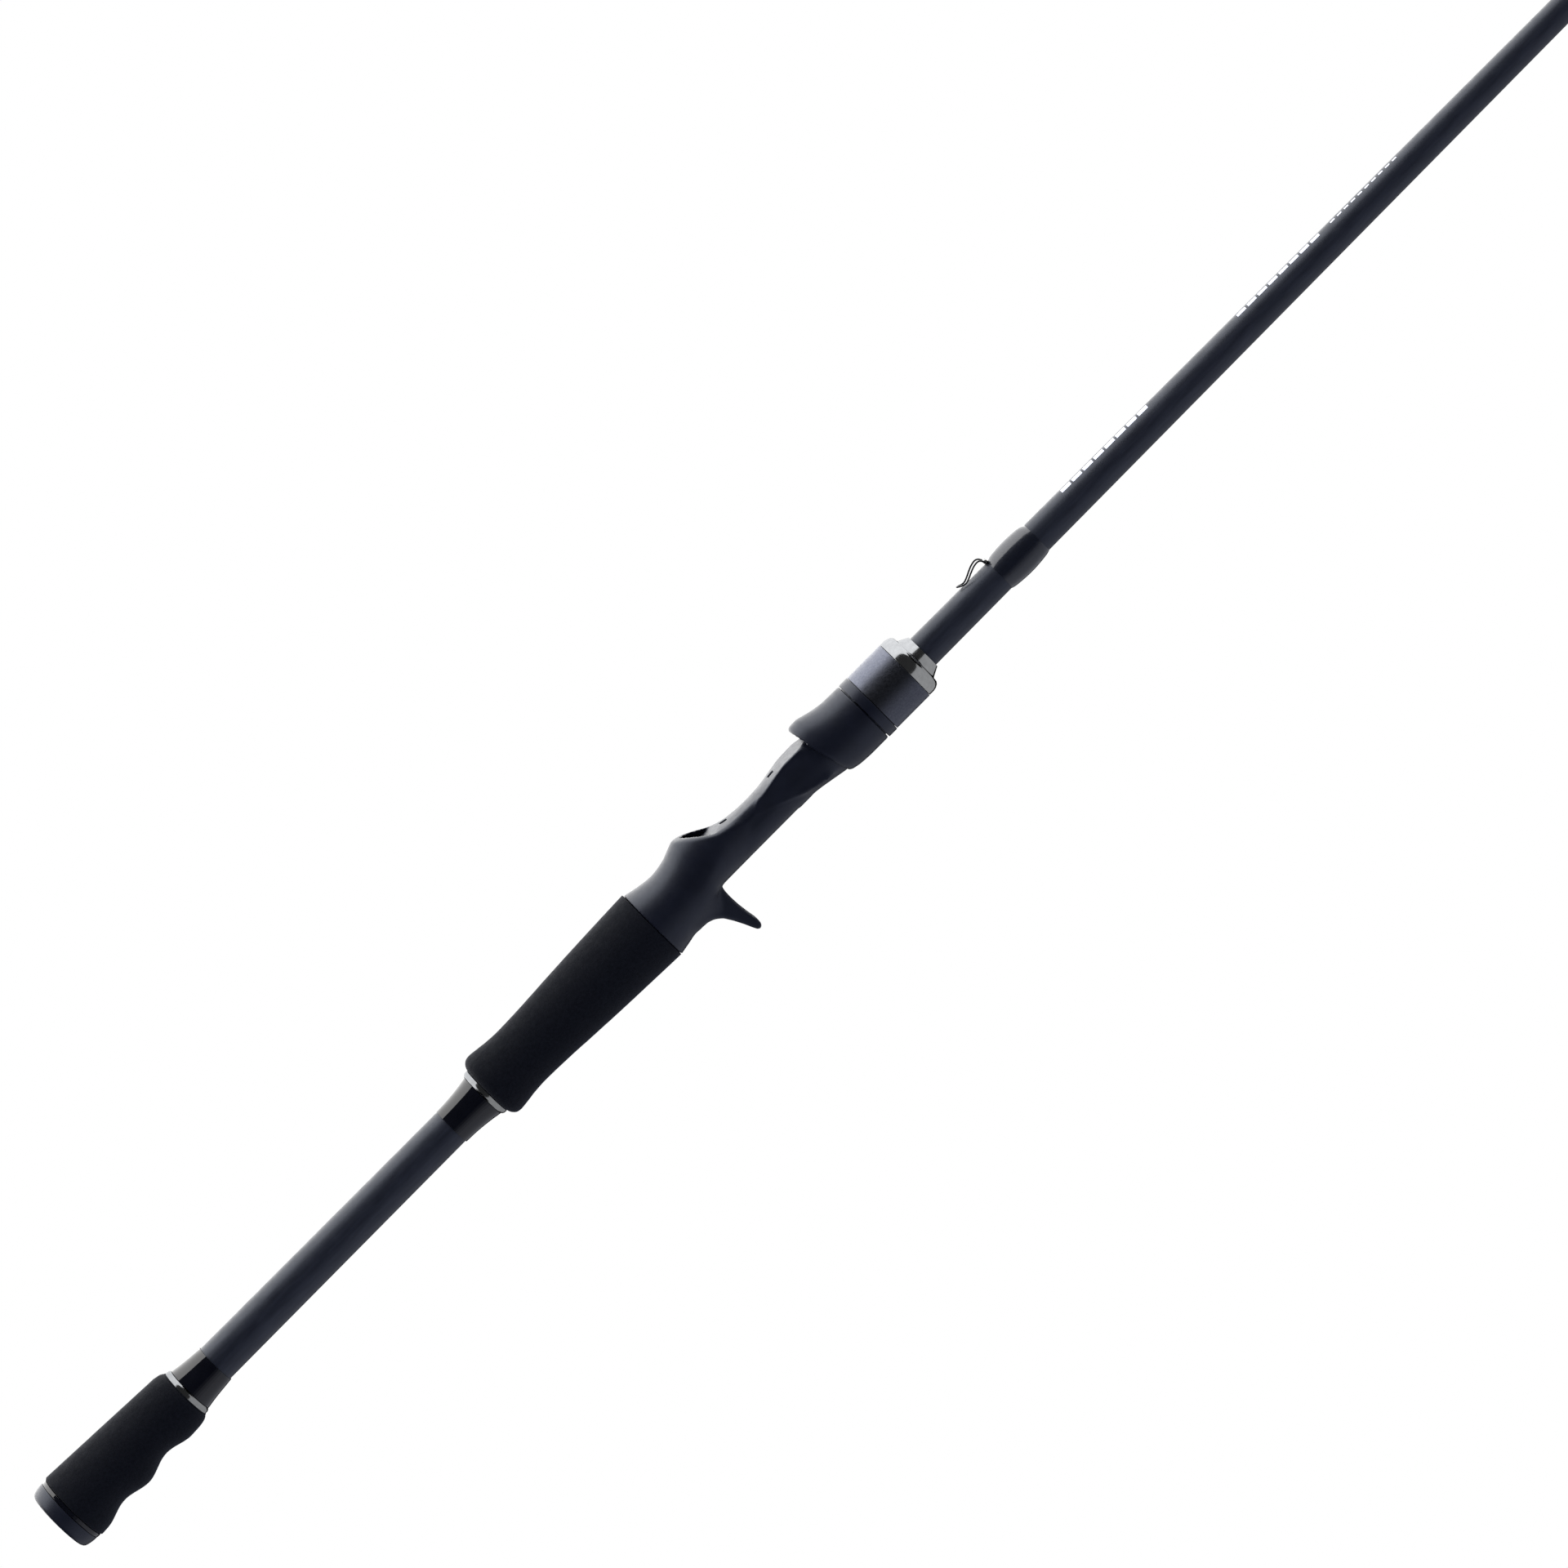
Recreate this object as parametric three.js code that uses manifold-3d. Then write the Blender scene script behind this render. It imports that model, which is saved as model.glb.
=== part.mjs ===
// A one-piece casting rod with a split foam grip and a trigger reel seat, in millimetres.
// The rod lies along +X from the centre of the butt cap's end face. +Z is the side that
// carries the reel and the guides, and the seat's trigger points down, towards -Z.
import * as THREE from "three";
import { mergeVertices } from "three/addons/utils/BufferGeometryUtils.js";
import Module from "manifold-3d";

const wasm = await Module();
wasm.setup();

// ---- Driving dimensions -------------------------------------------------------------

const ROD_LENGTH = 1981; // 6 ft 6 in, butt face to the front of the tip-top
const HANDLE_SIDES = 20; // facets round the handle and the blank
const TRIM_SIDES = 12; // facets round the thread wraps
const RING_SIDES = 14; // facets round the guide rings
const WIRE_SIDES = 6;
const GLUE_GAP = 0.15; // between round pieces that are glued together
const FACE_GAP = 0.15; // between the end faces of neighbouring pieces
const CUT_GAP = 0.3; // between a piece and a pocket cut for it

const BLANK_START = 5.5;
const BLANK_END = 1972;
const BLANK_TAPER = [
  [BLANK_START, 7.15],
  [330, 6.37],
  [705, 4.8],
  [BLANK_END, 0.9],
];
const BLANK_WALL = [
  [BLANK_START, 1.15],
  [BLANK_END, 0.5],
];

const BUTT_CAP_END = 5.2;
const BUTT_CAP_RADIUS = 12.7;
const BUTT_GRIP_START = 7;
const BUTT_GRIP_END = 59.3;
const BUTT_GRIP_RADII = [13.2, 11.1];
const FINGER_GROOVES = [
  { x: 20.3, depth: 2.1, width: 21 },
  { x: 41, depth: 2.3, width: 21 },
];
const BUTT_CONE_END = 73.5;
const CHECK_RADIUS = 9.3; // the winding checks, against the grips' ends
const CHECK_LENGTH = 2;
const CAP_PLUG_END = 18; // the part of the butt cap that is glued inside the blank

const REAR_CONE_START = 184;
const REAR_GRIP_START = 200.8;
const SEAT_START = 278;

const BARREL_START = 360;
const BARREL_END = 395.5;
const BARREL_RADIUS = 9.5;
const SEAT_BORE = 6.65;
const REAR_COUNTERBORE = { radius: 9.6, depth: 12 };
const FRONT_COUNTERBORE = { radius: 7.3, start: 362 };
const FOOT_BED = 8; // height of the flats that the two ends of the reel foot rest on
const TRIGGER_WIDTH = 10;
const TRIGGER_EDGE = 0.6; // chamfer along its two side outlines

const HOOD_START = 355;
const HOOD_END = 377;
const HOOD_BORE = 9.8;
const HOOD_NECK = { radius: 10.75, start: 372.7 };
const NUT_BORE = 9.75;
const NUT_NECK = { radius: 10.5, start: 373.2 };
const NUT_RING_END = 381;
const NUT_SLEEVE_END = 396.3;
const NUT_END = 405;
const NUT_CORE_RADIUS = 10.6;
const NUT_MOUTH = 6.65;

const KEEPER_PIVOT = { x: 440.4, z: 6.75 };
const KEEPER_WRAP = { from: 441.4, to: 458 };

const GUIDE_COUNT = 8;
const TIP_GUIDE_GAP = 95; // from the rod's tip to the guide nearest to it
const GAP_GROWTH = 13; // each gap towards the butt is this much longer than the last
const LARGE_RING_SIZES = [10, 8, 6]; // from the butt end; the rest are small
const SMALL_RING_SIZE = 5.5;
const DOUBLE_FOOT_GUIDES = 2;

// ---- Finishes -----------------------------------------------------------------------

const FINISHES = {
  blank: { color: 0x3a404c, roughness: 0.55, metalness: 0.2 },
  foam: { color: 0x17181b, roughness: 0.95, metalness: 0 },
  seat: { color: 0x343946, roughness: 0.45, metalness: 0.1 },
  cap: { color: 0x3b3f48, roughness: 0.5, metalness: 0.1 },
  trim: { color: 0x0b0c0f, roughness: 0.12, metalness: 0 },
  polished: { color: 0xc9ccd2, roughness: 0.18, metalness: 1 },
  nut: { color: 0x2b2f3a, roughness: 0.5, metalness: 0.2 },
  arbor: { color: 0x6b6f75, roughness: 0.9, metalness: 0 },
  wire: { color: 0x15161a, roughness: 0.3, metalness: 0.8 },
  ring: { color: 0x24262b, roughness: 0.12, metalness: 0 },
  wrap: { color: 0x101217, roughness: 0.1, metalness: 0 },
};

// ---- Geometry helpers ---------------------------------------------------------------

// Straight-line interpolation in a table of [x, value] rows.
function along(table, x) {
  const next = table.findIndex(([rowX]) => rowX >= x);
  if (next === 0) return table[0][1];
  if (next < 0) return table.at(-1)[1];
  const [x0, value0] = table[next - 1];
  const [x1, value1] = table[next];
  return value0 + ((value1 - value0) * (x - x0)) / (x1 - x0);
}

const blankRadius = (x) => along(BLANK_TAPER, x);

// A solid of revolution about the X axis from a closed outline of [x, radius] points.
function turned(outline, sides = HANDLE_SIDES) {
  const points = outline.map(([x, radius]) => new THREE.Vector2(radius, x));
  if (THREE.ShapeUtils.area(points) < 0) points.reverse();
  const onAxis = points[0].x === 0 && points.at(-1).x === 0;
  if (!onAxis) points.push(points[0].clone());
  return new THREE.LatheGeometry(points, sides).rotateZ(-Math.PI / 2);
}

// Moves each vertex of a turned piece to place(x, angle, radius) = [y, z], where the angle
// is measured from +Z towards +Y.
function reshaped(geometry, place) {
  const position = geometry.getAttribute("position");
  for (let i = 0; i < position.count; i++) {
    const y = position.getY(i);
    const z = position.getZ(i);
    const [newY, newZ] = place(position.getX(i), Math.atan2(y, z), Math.hypot(y, z));
    position.setXYZ(i, position.getX(i), newY, newZ);
  }
  return geometry;
}

// A solid through cross-sections along X. Each has its x, its height above its middle, its
// depth below it, its half width, and its middle's own height where that isn't the axis.
function lofted(sections, sides = HANDLE_SIDES) {
  const xs = sections.map((section) => section.x);
  const outline = [[xs[0], 0], ...xs.map((x) => [x, 1]), [xs.at(-1), 0]];
  return reshaped(turned(outline, sides), (x, angle, radius) => {
    if (radius < 0.5) return [0, 0];
    const nearest = sections.reduce((best, section) =>
      Math.abs(section.x - x) < Math.abs(best.x - x) ? section : best,
    );
    const { top, bottom, side, middle = 0 } = nearest;
    const height = Math.cos(angle) > 0 ? top : bottom;
    return [side * Math.sin(angle), middle + height * Math.cos(angle)];
  });
}

// A circular section about a point off the axis.
const circle = (x, radius, middle) => ({
  x,
  top: radius,
  bottom: radius,
  side: radius,
  middle,
});

// A flat outline in the XZ plane, extruded across Y and centred on it.
function plate(shape, width, bevel = 0) {
  const geometry = new THREE.ExtrudeGeometry(shape, {
    depth: width - 2 * bevel,
    curveSegments: 6,
    bevelEnabled: bevel > 0,
    bevelThickness: bevel,
    bevelSize: bevel,
    bevelOffset: -bevel,
    bevelSegments: 2,
  });
  return geometry.rotateX(Math.PI / 2).translate(0, width / 2 - bevel, 0);
}

function block([x0, x1], [y0, y1], [z0, z1]) {
  const geometry = new THREE.BoxGeometry(x1 - x0, y1 - y0, z1 - z0);
  return geometry.translate((x0 + x1) / 2, (y0 + y1) / 2, (z0 + z1) / 2);
}

// A round wire along a smooth curve through the points.
function wire(points, radius, steps) {
  const section = new THREE.Shape().absarc(0, 0, radius, 0, 2 * Math.PI, false);
  const path = new THREE.CatmullRomCurve3(points.map((point) => new THREE.Vector3(...point)));
  return new THREE.ExtrudeGeometry(section, {
    steps,
    curveSegments: WIRE_SIDES / 2,
    bevelEnabled: false,
    extrudePath: path,
  });
}

function solid(geometry) {
  const bare = geometry.clone();
  bare.deleteAttribute("normal");
  bare.deleteAttribute("uv");
  const merged = mergeVertices(bare, 1e-4);
  return new wasm.Manifold(
    new wasm.Mesh({
      numProp: 3,
      vertProperties: merged.getAttribute("position").array,
      triVerts: new Uint32Array(merged.index.array),
    }),
  );
}

const joined = (...geometries) => geometries.map(solid).reduce((sum, next) => sum.add(next));

function meshGeometry(manifold) {
  const mesh = manifold.getMesh();
  const positions = new THREE.BufferAttribute(mesh.vertProperties, mesh.numProp);
  const geometry = new THREE.BufferGeometry().setAttribute("position", positions);
  geometry.setIndex(new THREE.BufferAttribute(mesh.triVerts, 1));
  geometry.computeVertexNormals();
  return geometry;
}

const rod = new THREE.Group();

function addPiece(name, shape, finish) {
  const geometry = shape.isBufferGeometry ? shape : meshGeometry(shape);
  const mesh = new THREE.Mesh(geometry, new THREE.MeshStandardMaterial(FINISHES[finish]));
  mesh.name = name;
  rod.add(mesh);
}

// A turned collar glued on the blank: outer is its outside outline of [x, radius] points.
function blankSleeve(outer) {
  const bore = (x) => blankRadius(x) + GLUE_GAP;
  const start = outer[0][0];
  const end = outer.at(-1)[0];
  return turned([...outer, [end, bore(end)], [start, bore(start)]]);
}

// ---- Butt ---------------------------------------------------------------------------

function buttCap() {
  const bore = blankRadius(BLANK_START) - along(BLANK_WALL, BLANK_START);
  const spigot = bore - GLUE_GAP;
  return turned([
    [0, 0],
    [0, BUTT_CAP_RADIUS - 2.6],
    [0.5, BUTT_CAP_RADIUS - 1.3],
    [1.8, BUTT_CAP_RADIUS - 0.3],
    [BUTT_CAP_END, BUTT_CAP_RADIUS],
    [BUTT_CAP_END, spigot],
    [CAP_PLUG_END - 1, spigot],
    [CAP_PLUG_END, spigot - 1],
    [CAP_PLUG_END, 0],
  ]);
}

// How far the finger grooves cut into the grip's underside at x.
function grooveDepth(x) {
  return FINGER_GROOVES.reduce((sum, groove) => {
    const phase = (x - groove.x) / groove.width;
    return sum + (Math.abs(phase) < 0.5 ? groove.depth * Math.cos(Math.PI * phase) ** 2 : 0);
  }, 0);
}

function buttGrip() {
  const stations = 16;
  const shoulder = 8; // the front end rounds over this length
  const length = BUTT_GRIP_END - BUTT_GRIP_START;
  const outer = Array.from({ length: stations + 1 }, (_, i) => {
    const x = BUTT_GRIP_START + (length * i) / stations;
    const straight = THREE.MathUtils.lerp(...BUTT_GRIP_RADII, i / stations);
    const intoShoulder = Math.max(0, x - (BUTT_GRIP_END - shoulder)) / shoulder;
    return [x, straight - 1.5 * intoShoulder ** 2];
  });
  return reshaped(blankSleeve(outer), (x, angle, radius) => {
    const onOutside = radius > blankRadius(x) + 1;
    const under = Math.max(0, -Math.cos(angle)) ** 1.5;
    const cut = onOutside ? radius - grooveDepth(x) * under : radius;
    return [cut * Math.sin(angle), cut * Math.cos(angle)];
  });
}

// A collar against a grip's end, from its flat face at the grip to its rounded far face.
function windingCheck(gripFace, farFace) {
  const step = Math.sign(farFace - gripFace);
  const outer = [
    [gripFace, CHECK_RADIUS - 0.3],
    [gripFace + step * 0.3, CHECK_RADIUS],
    [farFace - step * 0.6, CHECK_RADIUS - 0.2],
    [farFace, CHECK_RADIUS - 0.6],
  ];
  return blankSleeve(step > 0 ? outer : outer.reverse());
}

addPiece("butt_cap", buttCap(), "cap");
addPiece(
  "butt_trim_ring",
  blankSleeve([
    [BUTT_CAP_END + FACE_GAP, BUTT_CAP_RADIUS],
    [BUTT_GRIP_START - FACE_GAP, BUTT_CAP_RADIUS],
  ]),
  "trim",
);
addPiece("butt_grip", buttGrip(), "foam");
const buttCheckStart = BUTT_GRIP_END + 0.2;
const buttCheckEnd = buttCheckStart + CHECK_LENGTH;
addPiece("butt_winding_check", windingCheck(buttCheckStart, buttCheckEnd), "polished");
addPiece(
  "butt_trim_cone",
  blankSleeve([
    [buttCheckEnd + FACE_GAP, 8.7],
    [65, 7.95],
    [68.5, 7.5],
    [BUTT_CONE_END, 7.3],
  ]),
  "trim",
);

// ---- Blank --------------------------------------------------------------------------

function blankTube() {
  const inside = (x) => blankRadius(x) - along(BLANK_WALL, x);
  const stations = BLANK_TAPER.map(([x]) => x).reverse();
  return turned([...BLANK_TAPER, ...stations.map((x) => [x, inside(x)])]);
}

addPiece("blank", blankTube(), "blank");

// ---- Rear grip ----------------------------------------------------------------------

const rearCheckEnd = REAR_GRIP_START - 0.2;
const rearCheckStart = rearCheckEnd - CHECK_LENGTH;
addPiece(
  "rear_trim_cone",
  blankSleeve([
    [REAR_CONE_START, 7.1],
    [189, 7.3],
    [194, 7.8],
    [rearCheckStart - FACE_GAP, 8.5],
  ]),
  "trim",
);
addPiece("rear_winding_check", windingCheck(rearCheckEnd, rearCheckStart), "polished");
addPiece(
  "rear_grip",
  blankSleeve([
    [REAR_GRIP_START, 9.6],
    [202, 11.3],
    [204, 12.3],
    [207.5, 12],
    [211.5, 11.5],
    [217, 11.3],
    [227, 11.6],
    [238, 12.2],
    [250, 12.8],
    [264, 13.3],
    [SEAT_START - FACE_GAP, 13.8],
  ]),
  "foam",
);

// ---- Reel seat ----------------------------------------------------------------------

const SEAT_SECTIONS = [
  { x: SEAT_START, top: 13.3, bottom: 13.8, side: 13.6 },
  { x: 283, top: 12.2, bottom: 12.9, side: 12.7 },
  { x: 289, top: 11.5, bottom: 11.6, side: 11.6 },
  { x: 295, top: 12.4, bottom: 11.2, side: 11.2 },
  { x: 299, top: 13.9, bottom: 10.8, side: 11.3 },
  { x: 302.4, top: 15, bottom: 9.6, side: 11.3 },
  { x: 304.5, top: 14.5, bottom: 8.2, side: 11.2 },
  { x: 308, top: 12.9, bottom: 7.3, side: 10.9 },
  { x: 312, top: 10.9, bottom: 7.2, side: 10.4 },
  { x: 316, top: 9.2, bottom: 7.2, side: 9.7 },
  { x: 319, top: 8.2, bottom: 7.2, side: 9 },
  { x: 324, top: 7.3, bottom: 7.2, side: 8.1 },
  { x: 330, top: 7.2, bottom: 7.2, side: 7.7 },
  { x: 337, top: 7.3, bottom: 7.2, side: 8 },
  { x: 343, top: FOOT_BED, bottom: 7.2, side: 8.7 },
  { x: 347, top: BARREL_RADIUS, bottom: 7.25, side: 9.1 },
  { x: 354, top: BARREL_RADIUS, bottom: 8.5, side: 9.4 },
  circle(BARREL_START, BARREL_RADIUS, 0),
  circle(BARREL_END, BARREL_RADIUS, 0),
];

// The fixed trigger under the seat, as a side outline.
function trigger() {
  const root = -5;
  const outline = new THREE.Shape();
  const point = (x, z) => new THREE.Vector2(x, z);
  outline.moveTo(303.2, root);
  outline.lineTo(303, -7.3);
  outline.splineThru([point(301.9, -12), point(302.1, -18), point(303.2, -23.2)]);
  outline.quadraticCurveTo(304.4, -26, 302.4, -26.1);
  outline.quadraticCurveTo(300.9, -26.1, 299.8, -23.4);
  outline.splineThru([point(297.8, -18.1), point(294.6, -13.8), point(290.5, -11.4)]);
  outline.lineTo(286.5, -10);
  outline.lineTo(286.5, root);
  return plate(outline, TRIGGER_WIDTH, TRIGGER_EDGE);
}

// The space that one end of the reel foot slides into, under a hood: a flat floor at the
// foot bed and an arched ceiling, from its inner end to its mouth.
const ARCH_MIDDLE = 3.4;

function footPocket(stations, shrink = 0) {
  const arch = lofted(
    stations.map(([x, ceiling]) => circle(x, ceiling - ARCH_MIDDLE - shrink, ARCH_MIDDLE)),
  );
  return solid(arch).intersect(solid(block([0, ROD_LENGTH], [-30, 30], [FOOT_BED, 30])));
}

function reelSeat() {
  const bore = turned([
    [SEAT_START - 1, 0],
    [SEAT_START - 1, REAR_COUNTERBORE.radius],
    [SEAT_START + REAR_COUNTERBORE.depth, REAR_COUNTERBORE.radius],
    [SEAT_START + REAR_COUNTERBORE.depth, SEAT_BORE],
    [FRONT_COUNTERBORE.start, SEAT_BORE],
    [FRONT_COUNTERBORE.start, FRONT_COUNTERBORE.radius],
    [BARREL_END + 1, FRONT_COUNTERBORE.radius],
    [BARREL_END + 1, 0],
  ]);
  const rearPocket = footPocket([
    [294, 10.6],
    [303, 13.4],
    [320, 13.4],
  ]);
  const frontFlat = block([343, BARREL_END + 1], [-12, 12], [FOOT_BED, 20]);
  const windows = [318.5, 340.7].map((x) => block([x - 1.2, x + 1.2], [-0.8, 0.8], [5, 12]));
  const keyway = block([362, 392], [-1.7, 1.7], [-11, -8.9]);
  return [bore, frontFlat, ...windows, keyway]
    .map(solid)
    .reduce((body, cut) => body.subtract(cut), joined(lofted(SEAT_SECTIONS), trigger()))
    .subtract(rearPocket);
}

addPiece("reel_seat", reelSeat(), "seat");

// The arbors centre the blank in the seat's two counterbores.
function arbor(start, end, counterbore) {
  return blankSleeve([
    [start, counterbore - GLUE_GAP],
    [end, counterbore - GLUE_GAP],
  ]);
}

const rearArborEnd = SEAT_START + REAR_COUNTERBORE.depth - CUT_GAP;
addPiece("rear_arbor", arbor(SEAT_START + 0.2, rearArborEnd, REAR_COUNTERBORE.radius), "arbor");
addPiece(
  "front_arbor",
  arbor(FRONT_COUNTERBORE.start + CUT_GAP, BARREL_END - 0.5, FRONT_COUNTERBORE.radius),
  "arbor",
);

// ---- Sliding hood -------------------------------------------------------------------

const HOOD_SECTIONS = [
  { x: HOOD_START - 1, top: 13.9, bottom: 10.2, side: 11.3 },
  { x: 359, top: 14.1, bottom: 10.4, side: 11.4 },
  { x: 362, top: 13.4, bottom: 10.9, side: 11.5 },
  { x: 365, top: 12.7, bottom: 11.4, side: 11.6 },
  { x: 370, top: 11.9, bottom: 11.7, side: 11.7 },
  circle(HOOD_END - 0.4, 11.7, 0),
  circle(HOOD_END, 11.3, 0),
];
const HOOD_CEILING = [
  [HOOD_START - 3, 12.7],
  [357, 12.7],
  [367, 9.9],
];
const HOOD_KEY = { from: 363.5, to: 370 };

// The hood's rear edge leans: its lip reaches furthest back, over the end of the reel foot.
function hoodRearCut() {
  const lean = Math.atan2(6, 25);
  const cut = new THREE.BoxGeometry(40, 60, 80).translate(-20, 0, 0);
  return cut.rotateY(-lean).translate(HOOD_START + 3.4, 0, 0);
}

function frontHood() {
  const bore = turned([
    [HOOD_START - 5, 0],
    [HOOD_START - 5, HOOD_BORE],
    [HOOD_NECK.start, HOOD_BORE],
    [HOOD_NECK.start, HOOD_NECK.radius],
    [HOOD_END + 1, HOOD_NECK.radius],
    [HOOD_END + 1, 0],
  ]);
  const key = block([HOOD_KEY.from, HOOD_KEY.to], [-1.4, 1.4], [-10.6, -9.2]);
  return solid(lofted(HOOD_SECTIONS))
    .subtract(solid(bore))
    .subtract(footPocket(HOOD_CEILING))
    .subtract(solid(hoodRearCut()))
    .add(solid(key));
}

// A thin steel strip under the lip, which bears on the reel foot.
function hoodLiner() {
  const thickness = 0.5;
  const strip = footPocket(HOOD_CEILING, CUT_GAP).subtract(
    footPocket(HOOD_CEILING, CUT_GAP + thickness),
  );
  return strip.intersect(solid(block([357.5, 362], [-6, 6], [10, 20])));
}

addPiece("front_hood", frontHood(), "seat");
addPiece("hood_liner", hoodLiner(), "polished");

// ---- Lock nut -----------------------------------------------------------------------

addPiece(
  "lock_nut",
  turned([
    [NUT_NECK.start, NUT_BORE],
    [NUT_NECK.start, NUT_NECK.radius],
    [HOOD_END + 0.3, NUT_NECK.radius],
    [HOOD_END + 0.3, NUT_CORE_RADIUS],
    [NUT_SLEEVE_END, NUT_CORE_RADIUS],
    [NUT_SLEEVE_END, NUT_BORE],
  ]),
  "nut",
);
addPiece(
  "nut_ring",
  turned([
    [HOOD_END + 0.3, NUT_CORE_RADIUS + GLUE_GAP],
    [HOOD_END + 0.3, 11.7],
    [HOOD_END + 0.7, 11.9],
    [NUT_RING_END - 0.4, 11.9],
    [NUT_RING_END, 11.7],
    [NUT_RING_END, NUT_CORE_RADIUS + GLUE_GAP],
  ]),
  "nut",
);
addPiece(
  "nut_sleeve",
  turned([
    [NUT_RING_END + FACE_GAP, NUT_CORE_RADIUS + GLUE_GAP],
    [NUT_RING_END + FACE_GAP, 11.7],
    [NUT_SLEEVE_END, 11.7],
    [NUT_SLEEVE_END, NUT_CORE_RADIUS + GLUE_GAP],
  ]),
  "nut",
);

// A thin shell: a rounded shoulder, a cone down to a step, and a short nose over the blank.
function nutFrontCap() {
  const start = NUT_SLEEVE_END + FACE_GAP;
  const inside = 9.9;
  return turned([
    [start, inside],
    [start, 11.6],
    [start + 2.55, 11.5],
    [start + 4.55, 10.3],
    [start + 5.45, 8.4],
    [start + 5.75, 8],
    [NUT_END - 1, 7.6],
    [NUT_END, 7],
    [NUT_END, NUT_MOUTH],
    [start + 5.95, NUT_MOUTH],
    [start + 4.15, 9.2],
    [start + 2.55, inside],
  ]);
}

addPiece("nut_front_cap", nutFrontCap(), "polished");

// ---- Hook keeper --------------------------------------------------------------------

const KEEPER_WIRE = 0.3;
const KEEPER_BARREL = { half: 1.9, radius: 0.72, bore: 0.42 };
const KEEPER_FOOT = { from: 440.4, to: 453, bottom: 6, top: 6.35, width: 2.1 };

// A solid cylinder about the keeper's hinge axis, from -half to half across the rod.
function hingeCylinder(half, radius) {
  const outline = [
    [-half, 0],
    [-half, radius],
    [half, radius],
    [half, 0],
  ];
  const cylinder = turned(outline, RING_SIDES / 2).rotateZ(Math.PI / 2);
  return cylinder.translate(KEEPER_PIVOT.x, 0, KEEPER_PIVOT.z);
}

function keeperBracket() {
  const { half, radius, bore } = KEEPER_BARREL;
  const foot = block(
    [KEEPER_FOOT.from, KEEPER_FOOT.to],
    [-KEEPER_FOOT.width / 2, KEEPER_FOOT.width / 2],
    [KEEPER_FOOT.bottom, KEEPER_FOOT.top],
  );
  return joined(hingeCylinder(half, radius), foot).subtract(solid(hingeCylinder(2 * half, bore)));
}

// The wire loop that a hook hangs on: its ends turn inwards as the hinge pins, it rises to a
// crest beside them, touches down on the blank and kicks up at its closed tip.
function hookKeeper() {
  const { x, z } = KEEPER_PIVOT;
  const side = [
    [x, 0.9, z],
    [x, 2.1, z],
    [439.9, 2.6, 7.6],
    [438.8, 2.6, 8.8],
    [436.4, 2.5, 8.5],
    [433.2, 2.3, 7.2],
    [431, 2, 6.35],
    [429.2, 1.3, 6.7],
  ];
  const far = [...side].reverse().map(([px, py, pz]) => [px, -py, pz]);
  return wire([...side, [427.9, 0, 7.3], ...far], KEEPER_WIRE, 44);
}

// A thread wrap that binds a foot to the blank, under a coat of varnish. Its middle is
// raised towards the foot, which lies in a channel cut a gap larger than itself.
function threadWrap(from, to, cover, foot, sides = TRIM_SIDES) {
  const flatness = Math.cos(Math.PI / sides);
  const bore = (x) => (blankRadius(x) + 0.1) / flatness;
  const length = to - from;
  const outside = (x, thickness, lift) => circle(x, bore(x) + thickness, lift);
  const body = lofted(
    [
      outside(from, 0.15, 0),
      outside(from + length * 0.12, cover * 0.7, cover * 0.3),
      outside(from + length * 0.85, cover * 0.7, cover * 0.3),
      outside(to, 0.15, 0),
    ],
    sides,
  );
  const hole = turned(
    [
      [from - 1, 0],
      [from - 1, bore(from - 1)],
      [to + 1, bore(to + 1)],
      [to + 1, 0],
    ],
    sides,
  );
  const wrapped = solid(body).subtract(solid(hole));
  return foot ? wrapped.subtract(solid(foot)) : wrapped;
}

addPiece("keeper_bracket", keeperBracket(), "wire");
addPiece("hook_keeper", hookKeeper(), "wire");
const keeperChannel = block(
  [KEEPER_WRAP.from - 1, KEEPER_FOOT.to + 0.3],
  [-KEEPER_FOOT.width / 2 - GLUE_GAP, KEEPER_FOOT.width / 2 + GLUE_GAP],
  [0, KEEPER_FOOT.top + GLUE_GAP],
);
addPiece(
  "keeper_wrap",
  threadWrap(KEEPER_WRAP.from, KEEPER_WRAP.to, 0.65, keeperChannel, HANDLE_SIDES),
  "wrap",
);

// ---- Guides -------------------------------------------------------------------------

const FOOT_THICKNESS = 0.6;
const CHANNEL_GAP = 0.15; // round a foot, in the channel that its wrap leaves for it
const WRAP_OFFSET = 2; // a foot's wrap starts and ends this much nearer to its toe
const HOOP_GAP = 0.1; // between a ceramic ring and its hoop
const footWidth = (size) => size * 0.12 + 1.1;

// The ceramic ring that the line runs through.
function guideRing(size, width) {
  const inner = size * 0.37;
  const outer = size / 2;
  return turned(
    [
      [-width / 2, inner + 0.2],
      [-width / 2, outer - 0.2],
      [-width / 4, outer],
      [width / 4, outer],
      [width / 2, outer - 0.2],
      [width / 2, inner + 0.2],
      [0, inner],
    ],
    RING_SIDES,
  );
}

// The space that a ring and its gap take up, long enough to cut through a frame.
function ringSpace(size) {
  const radius = size / 2 + HOOP_GAP;
  const outline = [
    [-3, 0],
    [-3, radius],
    [3, radius],
    [3, 0],
  ];
  return turned(outline, RING_SIDES);
}

// The metal hoop that holds the ring.
function guideHoop(size) {
  const inner = size / 2 + HOOP_GAP;
  const outer = inner + 0.5 + size * 0.02;
  const half = 0.4 + size * 0.03;
  return turned(
    [
      [-half, inner],
      [-half, outer],
      [half, outer],
      [half, inner],
    ],
    RING_SIDES,
  );
}

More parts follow.
